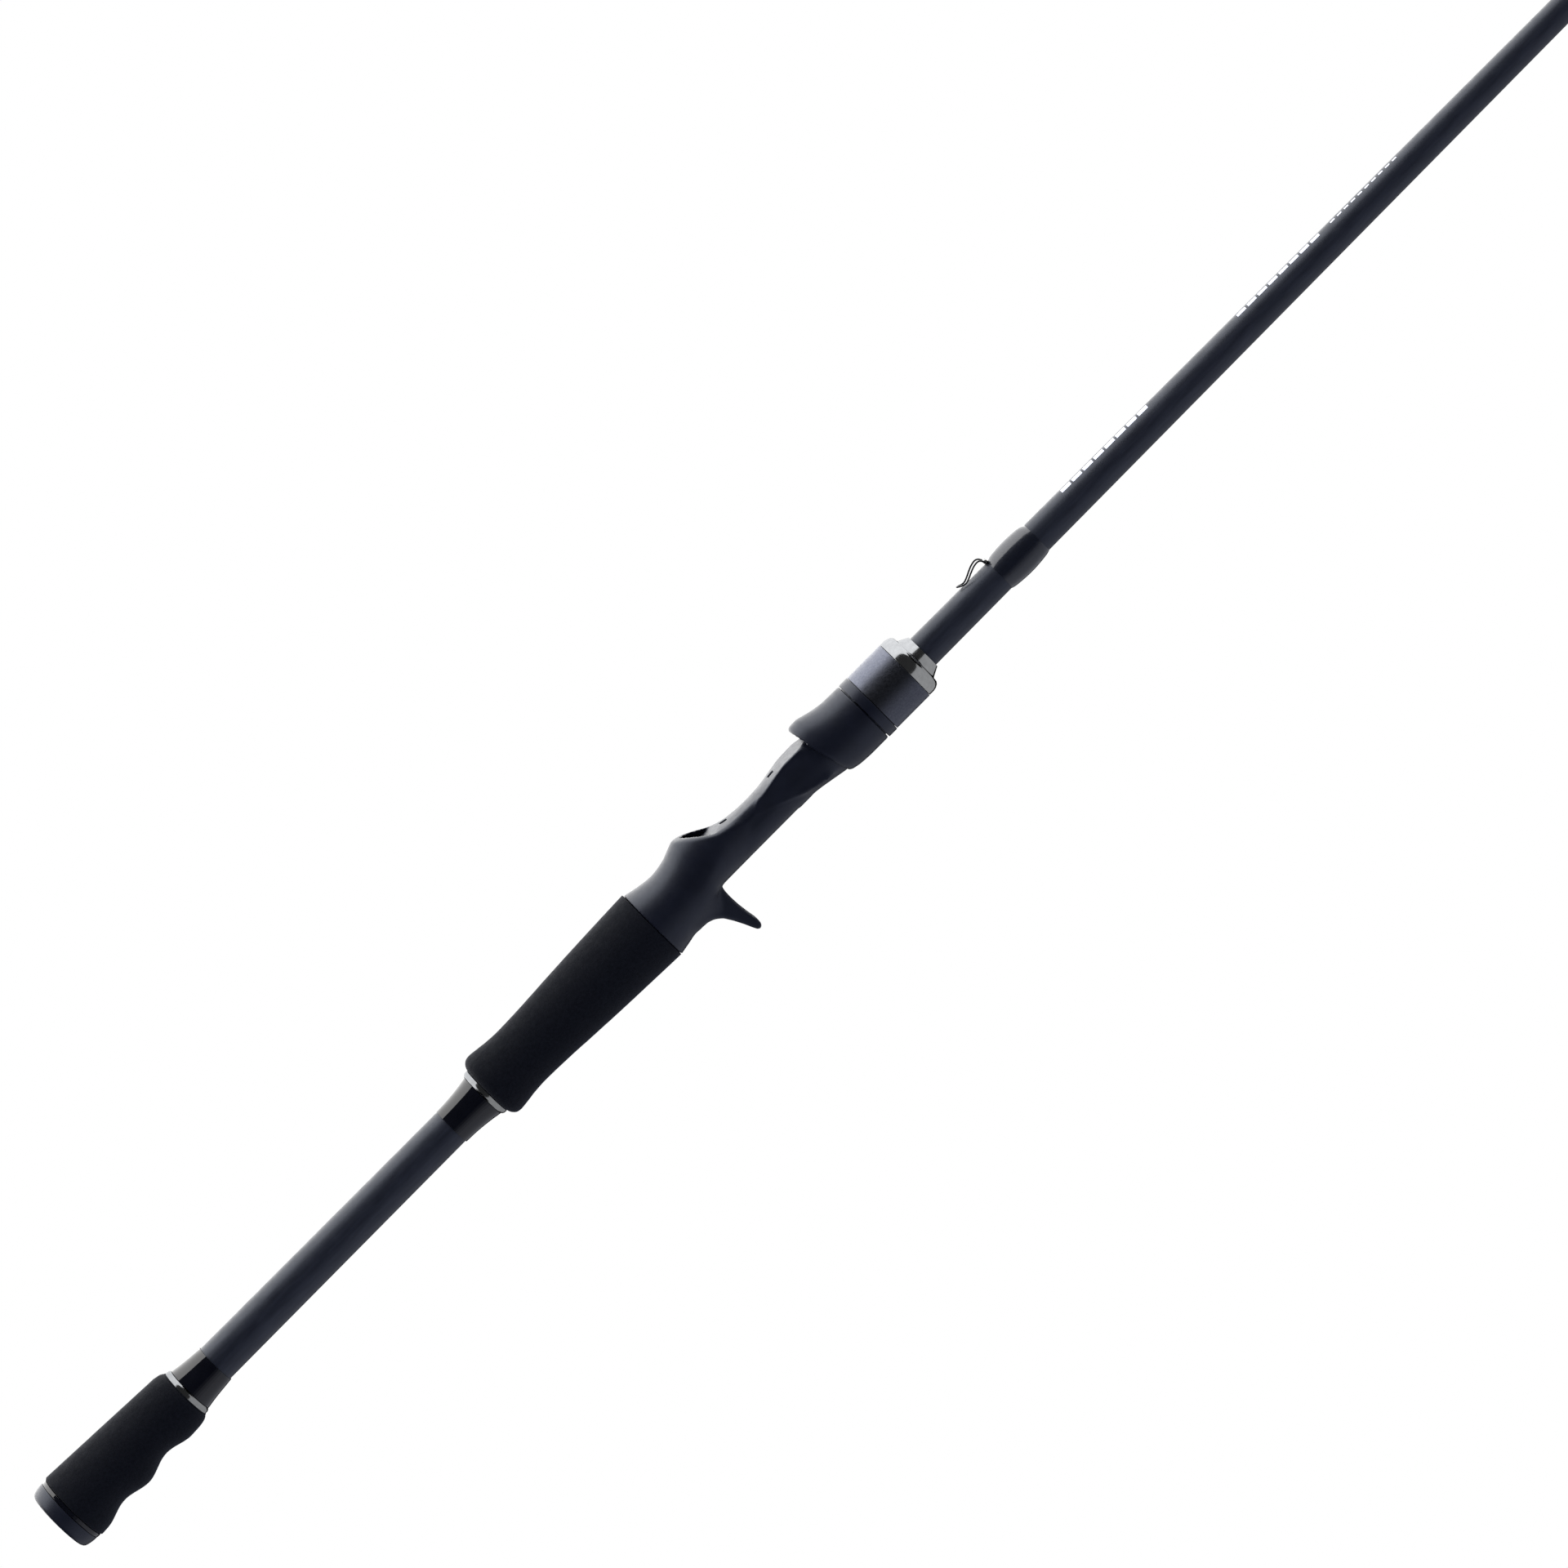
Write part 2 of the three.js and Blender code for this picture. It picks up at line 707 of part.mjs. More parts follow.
// One foot of a guide and the two legs that rise from it to the hoop at x, on the side that
// direction points to: -1 towards the butt, +1 towards the tip.
function guideLegs(x, size, ringHeight, direction) {
  const reach = size * 0.9 + 2.5;
  const footLength = size + 4;
  const legRadius = 0.3 + size * 0.025;
  const footStart = x + direction * reach;
  const bottom = Math.max(blankRadius(footStart), blankRadius(x)) + 0.12;
  const hoopRadius = size / 2 + 0.45;
  const spread = THREE.MathUtils.degToRad(50);
  const legs = [-1, 1].map((hand) =>
    wire(
      [
        [x, hand * hoopRadius * Math.sin(spread), ringHeight - hoopRadius * Math.cos(spread)],
        [x + direction * reach * 0.55, hand * size * 0.16, bottom + size * 0.28],
        [footStart + direction * 0.8, hand * 0.45, bottom + 0.4],
      ],
      legRadius,
      5,
    ),
  );
  const outline = new THREE.Shape();
  const heel = footStart - direction * 0.4;
  const toe = footStart + direction * footLength;
  outline.moveTo(heel, bottom);
  outline.lineTo(toe, bottom);
  outline.lineTo(toe, bottom + 0.2);
  outline.lineTo(heel + direction * 3, bottom + FOOT_THICKNESS);
  outline.lineTo(heel, bottom + FOOT_THICKNESS);
  return { legs, foot: plate(outline, footWidth(size)), footStart, toe, bottom };
}

function footWrap({ footStart, toe, bottom }, direction, size) {
  const inOrder = (a, b) => [Math.min(a, b), Math.max(a, b)];
  const shift = direction * WRAP_OFFSET;
  const half = footWidth(size) / 2 + CHANNEL_GAP;
  const channel = block(
    inOrder(footStart - shift, toe + direction * CUT_GAP),
    [-half, half],
    [0, bottom + FOOT_THICKNESS + CHANNEL_GAP],
  );
  return threadWrap(...inOrder(footStart + shift, toe + shift), 1.15, channel);
}

function addGuide(number, x, size) {
  const name = `guide_${number}`;
  const ringHeight = blankRadius(x) + size * 0.9 + 2;
  const directions = number <= DOUBLE_FOOT_GUIDES ? [-1, 1] : [1];
  const sides = directions.map((direction) => guideLegs(x, size, ringHeight, direction));
  const hoop = guideHoop(size).translate(x, 0, ringHeight);
  const uncut = joined(hoop, ...sides.flatMap(({ legs, foot }) => [...legs, foot]));
  const frame = uncut.subtract(solid(ringSpace(size).translate(x, 0, ringHeight)));
  addPiece(`${name}_frame`, frame, "wire");
  addPiece(`${name}_ring`, guideRing(size, 1 + size * 0.08).translate(x, 0, ringHeight), "ring");
  sides.forEach((side, i) => {
    const place = directions.length === 1 ? "" : ["_rear", "_front"][i];
    addPiece(`${name}${place}_wrap`, footWrap(side, directions[i], size), "wrap");
  });
}

for (let number = 1; number <= GUIDE_COUNT; number++) {
  const fromTip = GUIDE_COUNT + 1 - number;
  const growth = (GAP_GROWTH * fromTip * (fromTip - 1)) / 2;
  const x = ROD_LENGTH - TIP_GUIDE_GAP * fromTip - growth;
  addGuide(number, x, LARGE_RING_SIZES[number - 1] ?? SMALL_RING_SIZE);
}

// ---- Tip-top ------------------------------------------------------------------------

const TIP_TUBE = { from: 1957, to: 1973.5, bore: 1.1, radius: 1.5 };
const TIP_RING_HEIGHT = 4.9;
const TIP_RING_X = ROD_LENGTH - 0.6;
const TIP_BRACE = 0.32;

// A tube that is glued over the blank's end, two side braces and the hoop.
function tipTopFrame() {
  const size = SMALL_RING_SIZE;
  const hoopRadius = size / 2 + 0.35;
  const tube = turned(
    [
      [TIP_TUBE.from, TIP_TUBE.bore],
      [TIP_TUBE.from, TIP_TUBE.radius],
      [TIP_TUBE.to, TIP_TUBE.radius],
      [TIP_TUBE.to, TIP_TUBE.bore],
    ],
    RING_SIDES,
  );
  const hoop = guideHoop(size).translate(TIP_RING_X, 0, TIP_RING_HEIGHT);
  const braces = [-1, 1].flatMap((hand) => [
    wire(
      [
        [TIP_TUBE.to - 7, hand * 0.8, 1.1],
        [TIP_TUBE.to - 1, hand * 2, 2.8],
        [TIP_RING_X, hand * hoopRadius, TIP_RING_HEIGHT],
      ],
      TIP_BRACE,
      4,
    ),
    wire(
      [
        [TIP_TUBE.to - 1.5, hand * 0.5, -1],
        [TIP_TUBE.to + 3, hand * 0.6, 0],
        [TIP_RING_X, hand * 0.8, TIP_RING_HEIGHT - hoopRadius + 0.1],
      ],
      TIP_BRACE,
      4,
    ),
  ]);
  const bore = turned(
    [
      [TIP_TUBE.from - 1, 0],
      [TIP_TUBE.from - 1, TIP_TUBE.bore],
      [TIP_TUBE.to + 0.5, TIP_TUBE.bore],
      [TIP_TUBE.to + 0.5, 0],
    ],
    RING_SIDES,
  );
  return joined(tube, hoop, ...braces)
    .subtract(solid(ringSpace(size).translate(TIP_RING_X, 0, TIP_RING_HEIGHT)))
    .subtract(solid(bore));
}

addPiece("tip_top_frame", tipTopFrame(), "wire");
addPiece(
  "tip_top_ring",
  guideRing(SMALL_RING_SIZE, 1.4).translate(TIP_RING_X, 0, TIP_RING_HEIGHT),
  "ring",
);
addPiece("tip_wrap", threadWrap(1947, TIP_TUBE.from - 0.3, 0.4, null), "wrap");

export default rod;
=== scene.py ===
"""A casting rod: split foam grip, trigger reel seat, lock nut, hook keeper and ringed guides.

Shapes are worked out in millimetres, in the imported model's own frame (+X from the butt to the
tip, +Z towards the reel and the guides), and turned into metres when a mesh is made.
"""
import itertools
import math

import bpy
import numpy as np
from mathutils import Matrix, Vector, noise


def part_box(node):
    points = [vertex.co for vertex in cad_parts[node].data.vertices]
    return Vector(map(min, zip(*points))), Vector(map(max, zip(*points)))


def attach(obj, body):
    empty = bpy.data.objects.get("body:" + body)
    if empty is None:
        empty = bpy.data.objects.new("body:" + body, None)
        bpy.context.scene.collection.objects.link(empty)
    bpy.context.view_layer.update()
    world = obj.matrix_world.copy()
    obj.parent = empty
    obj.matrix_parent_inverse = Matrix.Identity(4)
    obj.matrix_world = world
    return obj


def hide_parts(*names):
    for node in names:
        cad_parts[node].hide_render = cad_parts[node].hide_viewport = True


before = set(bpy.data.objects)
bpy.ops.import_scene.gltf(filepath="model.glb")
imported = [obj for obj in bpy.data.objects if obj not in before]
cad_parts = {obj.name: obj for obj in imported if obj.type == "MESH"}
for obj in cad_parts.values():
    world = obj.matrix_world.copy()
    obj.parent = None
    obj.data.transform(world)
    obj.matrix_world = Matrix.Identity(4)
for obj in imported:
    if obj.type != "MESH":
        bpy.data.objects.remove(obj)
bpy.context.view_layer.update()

MM = 0.001
# The carbon tape that the blank is cured under leaves a shallow spiral.
TAPE_PITCH = 2.6
TAPE_DEPTH = 0.012

# ---- Measures taken from the frame --------------------------------------------------------


def span(node):
    """The first and last x of a CAD node, in millimetres."""
    low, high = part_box(node)
    return low.x / MM, high.x / MM


def cad_outline(node):
    """The largest radius at each x where a turned CAD node has vertices, in millimetres."""
    rings = {}
    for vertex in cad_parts[node].data.vertices:
        x, y, z = vertex.co / MM
        x = round(x, 2)
        rings[x] = max(rings.get(x, 0), math.hypot(y, z))
    return sorted(rings.items())


BLANK_OUTLINE = cad_outline("blank")
BLANK_START, BLANK_END = span("blank")
SEAT_START, BARREL_END = span("reel_seat")


def blank_radius(x):
    """The blank's outside radius at x."""
    return float(np.interp(x, *zip(*BLANK_OUTLINE)))


# ---- Curves and outlines ------------------------------------------------------------------

CORNER_POINTS = 5


def spline(points, spacing):
    """A Catmull-Rom curve through points of any dimension, sampled about every spacing."""
    points = np.array(points, float)
    ends = 2 * points[0] - points[1], 2 * points[-1] - points[-2]
    padded = np.vstack([ends[0], points, ends[1]])
    curve = []
    for p0, p1, p2, p3 in zip(padded, padded[1:], padded[2:], padded[3:]):
        steps = max(1, math.ceil(np.linalg.norm(p2 - p1) / spacing))
        for t in np.arange(steps) / steps:
            curve.append(
                p1
                + t * (p2 - p0) / 2
                + t**2 * (2 * p0 - 5 * p1 + 4 * p2 - p3) / 2
                + t**3 * (3 * p1 - p0 - 3 * p2 + p3) / 2
            )
    return np.array([*curve, points[-1]])


def rounded(corners):
    """An outline through (x, radius) corners. A corner with a third number is rounded off from
    that distance before it to that distance after it."""
    outline = []
    count = len(corners)
    for i, (x, radius, *cut) in enumerate(corners):
        here = np.array([x, radius], float)
        if not cut:
            outline.append(here)
            continue
        before = np.array(corners[i - 1][:2], float) - here
        after = np.array(corners[(i + 1) % count][:2], float) - here
        start = here + before / np.linalg.norm(before) * cut[0]
        end = here + after / np.linalg.norm(after) * cut[0]
        for t in np.linspace(0, 1, CORNER_POINTS):
            outline.append((1 - t) ** 2 * start + 2 * t * (1 - t) * here + t**2 * end)
    return [tuple(point) for point in outline]


def curve_at(table, x):
    """Smooth interpolation in a table of [x, value] rows: a cubic that never overshoots."""
    xs, values = (np.array(column, float) for column in zip(*table))
    gaps = np.diff(xs)
    slopes = np.diff(values) / gaps
    tangents = np.zeros(len(xs))
    bends = slopes[:-1] * slopes[1:] > 0
    harmonic = 2 * slopes[:-1] * slopes[1:] / np.where(bends, slopes[:-1] + slopes[1:], 1)
    tangents[1:-1] = np.where(bends, harmonic, 0)
    tangents[0], tangents[-1] = slopes[0], slopes[-1]
    x = np.clip(x, xs[0], xs[-1])
    i = np.clip(np.searchsorted(xs, x) - 1, 0, len(gaps) - 1)
    t = (x - xs[i]) / gaps[i]
    return (
        (1 + 2 * t) * (1 - t) ** 2 * values[i]
        + t * (1 - t) ** 2 * gaps[i] * tangents[i]
        + t**2 * (3 - 2 * t) * values[i + 1]
        + t**2 * (t - 1) * gaps[i] * tangents[i + 1]
    )


# ---- Meshes -------------------------------------------------------------------------------


def placed(name, data):
    """A new object in the scene, from its mesh, camera or light."""
    made = bpy.data.objects.new(name, data)
    bpy.context.scene.collection.objects.link(made)
    return made


def add_object(name, vertices, faces, sharp_angle=40):
    """A smooth-shaded object from points in millimetres, with edges kept sharp past an angle."""
    mesh = bpy.data.meshes.new(name)
    mesh.from_pydata((np.asarray(vertices, float) * MM).tolist(), [], faces)
    mesh.shade_smooth()
    mesh.set_sharp_from_angle(angle=math.radians(sharp_angle))
    return placed(name, mesh)


def faces_between(rings):
    """Faces from each ring of vertex numbers to the next. Where two corners are one vertex, the
    face has three sides, or is left out."""
    faces = []
    for ring, following in zip(rings, rings[1:]):
        for k in range(len(ring)):
            n = (k + 1) % len(ring)
            loop = dict.fromkeys([ring[k], following[k], following[n], ring[n]])
            if len(loop) > 2:
                faces.append(list(loop))
    return faces


def turned(name, outline, sides, place=None, sharp_angle=40):
    """A solid of revolution about X. The outline of (x, radius) points closes on itself, or
    starts and ends on the axis. place(x, angle, radius) may give a new radius, with the angle
    measured from +Z towards +Y."""
    if sum(x0 * r1 - x1 * r0 for (x0, r0), (x1, r1) in zip(outline, outline[1:] + outline[:1])) > 0:
        outline = outline[::-1]
    vertices, rings = [], []
    for x, radius in outline:
        if radius < 1e-6:
            rings.append([len(vertices)] * sides)
            vertices.append((x, 0, 0))
            continue
        rings.append(list(range(len(vertices), len(vertices) + sides)))
        for k in range(sides):
            angle = 2 * math.pi * k / sides
            r = place(x, angle, radius) if place else radius
            vertices.append((x, r * math.sin(angle), r * math.cos(angle)))
    if outline[0][1] > 1e-6:
        rings.append(rings[0])
    return add_object(name, vertices, faces_between(rings), sharp_angle)


def meshed(name, field, low, high, cell, smoothing=2):
    """A closed mesh where field(x, y, z) crosses from negative, inside, to positive: one vertex
    in each mixed cell of a grid, and one face across each grid edge that the surface cuts."""
    axes = [np.arange(low[a] - cell, high[a] + 2 * cell, cell) for a in range(3)]
    x, y, z = np.meshgrid(*axes, indexing="ij", sparse=True)
    values = np.broadcast_to(field(x, y, z), [len(a) for a in axes]).copy()
    inside = values < 0
    cells_shape = [len(a) - 1 for a in axes]
    corners = np.array([(i, j, k) for i in (0, 1) for j in (0, 1) for k in (0, 1)])
    count = np.zeros(cells_shape, int)
    for i, j, k in corners:
        count += inside[i : i + cells_shape[0], j : j + cells_shape[1], k : k + cells_shape[2]]
    mixed = (count > 0) & (count < 8)
    cells = np.argwhere(mixed)
    index = np.full(cells_shape, -1)
    index[mixed] = np.arange(len(cells))
    total, hits = np.zeros((len(cells), 3)), np.zeros(len(cells))
    for a in corners:
        for b in corners:
            if (b - a).sum() != 1 or (b < a).any():
                continue
            at_a = values[tuple((cells + a).T)]
            at_b = values[tuple((cells + b).T)]
            crosses = (at_a < 0) != (at_b < 0)
            share = np.where(crosses, at_a / np.where(crosses, at_a - at_b, 1), 0)
            total += np.where(crosses[:, None], a + share[:, None] * (b - a), 0)
            hits += crosses
    vertices = np.array([a[0] for a in axes]) + cell * (cells + total / hits[:, None])
    faces = []
    for axis in range(3):
        second, third = (axis + 1) % 3, (axis + 2) % 3
        before = np.take(inside, range(cells_shape[axis]), axis)
        after = np.take(inside, range(1, cells_shape[axis] + 1), axis)
        for leaving, order in ((before & ~after, 1), (after & ~before, -1)):
            edges = np.argwhere(leaving)
            ring = []
            for back_second, back_third in ((1, 1), (0, 1), (0, 0), (1, 0)):
                cell_at = edges.copy()
                cell_at[:, second] -= back_second
                cell_at[:, third] -= back_third
                ring.append(index[tuple(cell_at.T)])
            faces.extend(np.stack(ring[::order], 1).tolist())
    vertices = relaxed(vertices, np.array(faces), smoothing)
    return add_object(name, vertices, faces, sharp_angle=60)


def relaxed(vertices, faces, passes):
    """The vertices after each has moved some of the way to the mean of its neighbours, and
    then most of the way back, so that steps go and sizes stay."""
    edges = np.vstack([faces[:, [i, (i + 1) % 4]] for i in range(4)])
    degree = np.bincount(edges.ravel(), minlength=len(vertices))[:, None]
    for _ in range(passes):
        for share in (0.5, -0.45):
            mean = np.zeros_like(vertices)
            np.add.at(mean, edges[:, 0], vertices[edges[:, 1]])
            np.add.at(mean, edges[:, 1], vertices[edges[:, 0]])
            vertices = vertices + share * (mean / degree - vertices)
    return vertices


# ---- Fields: signed distances, negative inside --------------------------------------------


def either(a, b, blend=1e-6):
    """The union of two fields, with a fillet about blend wide."""
    h = np.clip(0.5 + 0.5 * (b - a) / blend, 0, 1)
    return b + (a - b) * h - blend * h * (1 - h)


def without(a, b, blend):
    """Field a with b cut out of it, with the new edge rounded about blend wide."""
    return -either(-a, b, blend)


def box_field(x, y, z, low, high, edge=0.0):
    """A box between two corners, with its edges rounded to the radius edge."""
    parts = [
        np.abs(value - (a + b) / 2) - (b - a) / 2 + edge
        for value, a, b in zip((x, y, z), low, high)
    ]
    outside = np.sqrt(sum(np.maximum(part, 0) ** 2 for part in parts))
    deepest = np.maximum(np.maximum(parts[0], parts[1]), parts[2])
    return outside + np.minimum(deepest, 0) - edge


def rod_field(x, y, z, points, radius):
    """A round bar along the points."""
    best = None
    for p, q in zip(points, points[1:]):
        d = [b - a for a, b in zip(p, q)]
        along = sum((value - a) * step for value, a, step in zip((x, y, z), p, d))
        t = np.clip(along / sum(step * step for step in d), 0, 1)
        gap = sum((value - a - step * t) ** 2 for value, a, step in zip((x, y, z), p, d))
        best = gap if best is None else np.minimum(best, gap)
    return np.sqrt(best) - radius


def outline_field(x, z, points):
    """The distance to a closed flat outline in the XZ plane."""
    points = np.asarray(points, float)
    best, inside = None, False
    for (x0, z0), (x1, z1) in zip(points, np.roll(points, -1, axis=0)):
        dx, dz = x1 - x0, z1 - z0
        t = np.clip(((x - x0) * dx + (z - z0) * dz) / (dx * dx + dz * dz), 0, 1)
        gap = np.hypot(x - x0 - dx * t, z - z0 - dz * t)
        best = gap if best is None else np.minimum(best, gap)
        spans = (z0 > z) != (z1 > z)
        left = x < x0 + dx * (z - z0) / (dz if dz else 1)
        inside = inside ^ (spans & left)
    return np.where(inside, -best, best)


# ---- Materials ----------------------------------------------------------------------------

LOW, HIGH = 0.3, 0.7  # most of a noise texture's values lie between these


class Finish:
    """A procedural material: a Principled shader whose colour, roughness and bump come from
    textures fixed to the part. A texture is grain, pores or turning, and its numbers."""

    def __init__(self, name, **values):
        self.material = bpy.data.materials.new(name)
        self.material.use_nodes = True
        self.nodes = self.material.node_tree.nodes
        self.links = self.material.node_tree.links
        self.shader = self.nodes["Principled BSDF"]
        for socket, value in values.items():
            self.shader.inputs[socket.replace("_", " ")].default_value = value
        self.place = self.nodes.new("ShaderNodeTexCoord").outputs["Object"]
        self.height = None

    def node(self, kind, **values):
        """A new node. Its properties and inputs are given by name."""
        made = self.nodes.new(kind)
        for key, value in values.items():
            if hasattr(made, key):
                setattr(made, key, value)
            elif isinstance(value, bpy.types.NodeSocket):
                self.links.new(value, made.inputs[key.replace("_", " ")])
            else:
                made.inputs[key.replace("_", " ")].default_value = value
        return made

    def source(self, kind, *numbers):
        """The output of a texture."""
        return getattr(self, kind)(*numbers)

    def grain(self, size, detail=2.0, scale=(1, 1, 1)):
        """Soft noise with features of about that size in millimetres, after a scale by axis."""
        place = self.node("ShaderNodeMapping", Vector=self.place, Scale=scale).outputs[0]
        made = self.node("ShaderNodeTexNoise", Vector=place, Scale=1 / (size * MM), Detail=detail)
        return made.outputs["Fac"]

    def pores(self, size):
        """Round cells about that size in millimetres."""
        made = self.node("ShaderNodeTexVoronoi", Vector=self.place, Scale=1 / (size * MM))
        return made.outputs["Distance"]

    def turning(self, pitch, distortion=0.0):
        """Rings round the X axis, that many millimetres apart."""
        made = self.node(
            "ShaderNodeTexWave",
            Vector=self.place,
            wave_profile="SIN",
            bands_direction="X",
            Scale=math.pi / 10 / (pitch * MM),
            Distortion=distortion,
        )
        return made.outputs["Fac"]

    def colour(self, texture, dark, light, low=LOW, high=HIGH):
        """The base colour runs from dark to light as the texture runs from low to high."""
        made = self.node("ShaderNodeValToRGB", Fac=self.source(*texture))
        first, last = made.color_ramp.elements
        first.position, first.color = low, (*dark, 1)
        last.position, last.color = high, (*light, 1)
        self.links.new(made.outputs[0], self.shader.inputs["Base Color"])

    def roughness(self, texture, smooth, rough):
        """The roughness runs from smooth to rough with the texture."""
        made = self.node(
            "ShaderNodeMapRange",
            Value=self.source(*texture),
            From_Min=LOW,
            From_Max=HIGH,
            To_Min=smooth,
            To_Max=rough,
        )
        self.links.new(made.outputs[0], self.shader.inputs["Roughness"])

    def bump(self, texture, depth, strength):
        """A bump of that depth in millimetres, on top of any earlier one."""
        source = self.source(*texture)
        made = self.node("ShaderNodeBump", Height=source, Distance=depth * MM, Strength=strength)
        if self.height:
            self.links.new(self.height, made.inputs["Normal"])
        self.height = made.outputs["Normal"]
        self.links.new(self.height, self.shader.inputs["Normal"])


FINISHES = {}
BLUISH = (0.80, 0.86, 1.0, 1.0)  # the tint of the shine on the dark plastics


def finish(name, colour, roughness, *bumps, **values):
    """Adds a material to FINISHES: what the methods of Finish are given, then the values of
    the shader that are the same all over."""
    made = Finish(name, **values)
    made.colour(*colour)
    made.roughness(*roughness)
    for bump in bumps:
        made.bump(*bump)
    FINISHES[name] = made.material


# Closed-cell foam: near black, dull, with fine open pores.
finish(
    "foam",
    (("grain", 0.9, 4), (0.0027, 0.0029, 0.0036), (0.0050, 0.0053, 0.0064)),
    (("grain", 2.5), 0.82, 0.95),
    (("pores", 0.42), 0.06, 0.6),
    (("grain", 0.22, 3), 0.03, 0.5),
    Specular_IOR_Level=0.15,
    Specular_Tint=BLUISH,
    Sheen_Weight=0.04,
    Sheen_Roughness=0.4,
)
# Satin carbon fibre with the faint spiral left by the tape it was cured under.
finish(
    "blank",
    (("grain", 1.1, 3, (0.12, 1, 1)), (0.011, 0.012, 0.0150), (0.0165, 0.018, 0.022)),
    (("grain", 4.0, 3), 0.38, 0.48),
    (("turning", TAPE_PITCH, 1.5), TAPE_DEPTH, 0.6),
    (("grain", 0.3, 2), 0.004, 0.5),
    Specular_IOR_Level=0.5,
    Specular_Tint=BLUISH,
)
# Moulded plastic with a fine spark-eroded texture.
for name, dark, light, rough in (
    ("seat", (0.0042, 0.0050, 0.0095), (0.0058, 0.0068, 0.0125), 0.43),
    ("cap", (0.0065, 0.0075, 0.0120), (0.0090, 0.0100, 0.0150), 0.42),
    ("nut", (0.0045, 0.0054, 0.0100), (0.0060, 0.0070, 0.0130), 0.40),
):
    finish(
        name,
        (("grain", 6.0, 3), dark, light),
        (("grain", 1.6, 3), rough - 0.03, rough + 0.04),
        (("grain", 0.3, 2), 0.003, 0.5),
        Specular_IOR_Level=0.5,
        Specular_Tint=BLUISH,
    )
# Anodised aluminium with a fine matt grain.
finish(
    "nut_sleeve",
    (("grain", 0.5, 4), (0.100, 0.107, 0.138), (0.140, 0.148, 0.180)),
    (("grain", 0.8, 3), 0.36, 0.5),
    (("grain", 0.2, 3), 0.008, 0.6),
    Metallic=1.0,
)
# Gloss black moulded trim.
finish(
    "trim",
    (("grain", 5.0), (0.0030, 0.0031, 0.0042), (0.0045, 0.0047, 0.006)),
    (("grain", 3.0, 3), 0.05, 0.09),
    (("grain", 2.4, 1), 0.004, 0.3),
    Specular_IOR_Level=0.6,
)
# Black thread, turn beside turn, under a thick clear coat of varnish.
finish(
    "wrap",
    (("turning", 0.2), (0.0036, 0.0042, 0.0064), (0.0100, 0.0112, 0.0155)),
    (("grain", 0.6, 2), 0.30, 0.42),
    (("turning", 0.2), 0.02, 0.4),
    Specular_IOR_Level=0.35,
    Specular_Tint=BLUISH,
    Coat_Weight=1.0,
    Coat_Roughness=0.04,
)
# Turned metal: fine rings left by the tool and a little uneven shine.
for name, light, rough in (
    ("polished", (0.80, 0.81, 0.82), 0.13),
    ("check", (0.64, 0.65, 0.66), 0.15),
    ("wire", (0.045, 0.047, 0.052), 0.24),
):
    finish(
        name,
        (("grain", 1.4, 3), [0.86 * part for part in light], light),
        (("grain", 0.5, 3, (8, 1, 1)), rough * 0.8, rough * 1.25),
        (("turning", 0.12, 0.3), 0.002, 0.5),
        Metallic=1.0,
    )
# Glazed ceramic.
finish(
    "ring",
    (("grain", 0.8), (0.020, 0.021, 0.024), (0.032, 0.033, 0.037)),
    (("grain", 0.6), 0.06, 0.1),
    (("grain", 0.3), 0.001, 0.4),
    Specular_IOR_Level=0.7,
)
# Pale printing ink, a little worn.
finish(
    "ink",
    (("grain", 0.5, 3), (0.60, 0.61, 0.63), (0.82, 0.83, 0.85)),
    (("grain", 0.4), 0.35, 0.5),
    (("grain", 0.25), 0.003, 0.5),
    Specular_IOR_Level=0.4,
)
# Grey rigid foam, with open cells.
finish(
    "arbor",
    (("pores", 0.6), (0.10, 0.10, 0.105), (0.22, 0.22, 0.23), 0.1, 0.6),
    (("grain", 1.0), 0.85, 0.95),
    (("pores", 0.6), 0.1, 0.8),
    Specular_IOR_Level=0.2,
)


def finished(piece, finish, body="root", replaces=True):
    """Gives a piece its material and the body that it moves with. By default it stands for the CAD
    node of its own name."""
    piece.data.materials.clear()
    piece.data.materials.append(FINISHES[finish])
    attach(piece, body)
    if replaces:
        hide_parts(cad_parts[piece.name.removesuffix("_fine")].name)
    return piece


def repainted(node, finish):
    """A CAD node that stays as it is, with a finished material."""
    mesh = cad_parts[node].data
    mesh.materials.clear()
    mesh.materials.append(FINISHES[finish])


# ---- Butt ---------------------------------------------------------------------------------

GLUE_GAP = 0.05
FOAM_SIDES = 200
FOAM_STEP = 0.45
FOAM_SHARP = 50
FINGER_GROOVES = ((20.3, 2.1, 21), (41.0, 2.3, 21))  # middle, depth and width along X


def sleeve_bore(x):
    return blank_radius(x) + GLUE_GAP


def foam_skin(x, angle, radius):
    """The foam's surface is a little uneven."""
    point = Vector((x, radius * math.sin(angle), radius * math.cos(angle)))
    return radius + 0.035 * noise.noise(point * 0.9) + 0.02 * noise.noise(point * 2.3)


def groove_depth(x):
    """How far the two finger grooves cut into the grip's underside."""
    depth = 0.0
    for middle, deepest, width in FINGER_GROOVES:
        phase = (x - middle) / width
        if abs(phase) < 0.5:
            depth += deepest * math.cos(math.pi * phase) ** 2
    return depth


def grooved_skin(x, angle, radius):
    if radius < sleeve_bore(x) + 1:
        return radius
    under = max(0.0, -math.cos(angle)) ** 1.5
    return foam_skin(x, angle, radius) - groove_depth(x) * under


def sleeve(name, outer, sides=112, place=None, sharp_angle=40):
    """A turned sleeve on the blank, from its outside outline."""
    start, end = outer[0][0], outer[-1][0]
    bore = [(end, sleeve_bore(end)), (start, sleeve_bore(start))]
    return turned(name, list(outer) + bore, sides, place, sharp_angle)


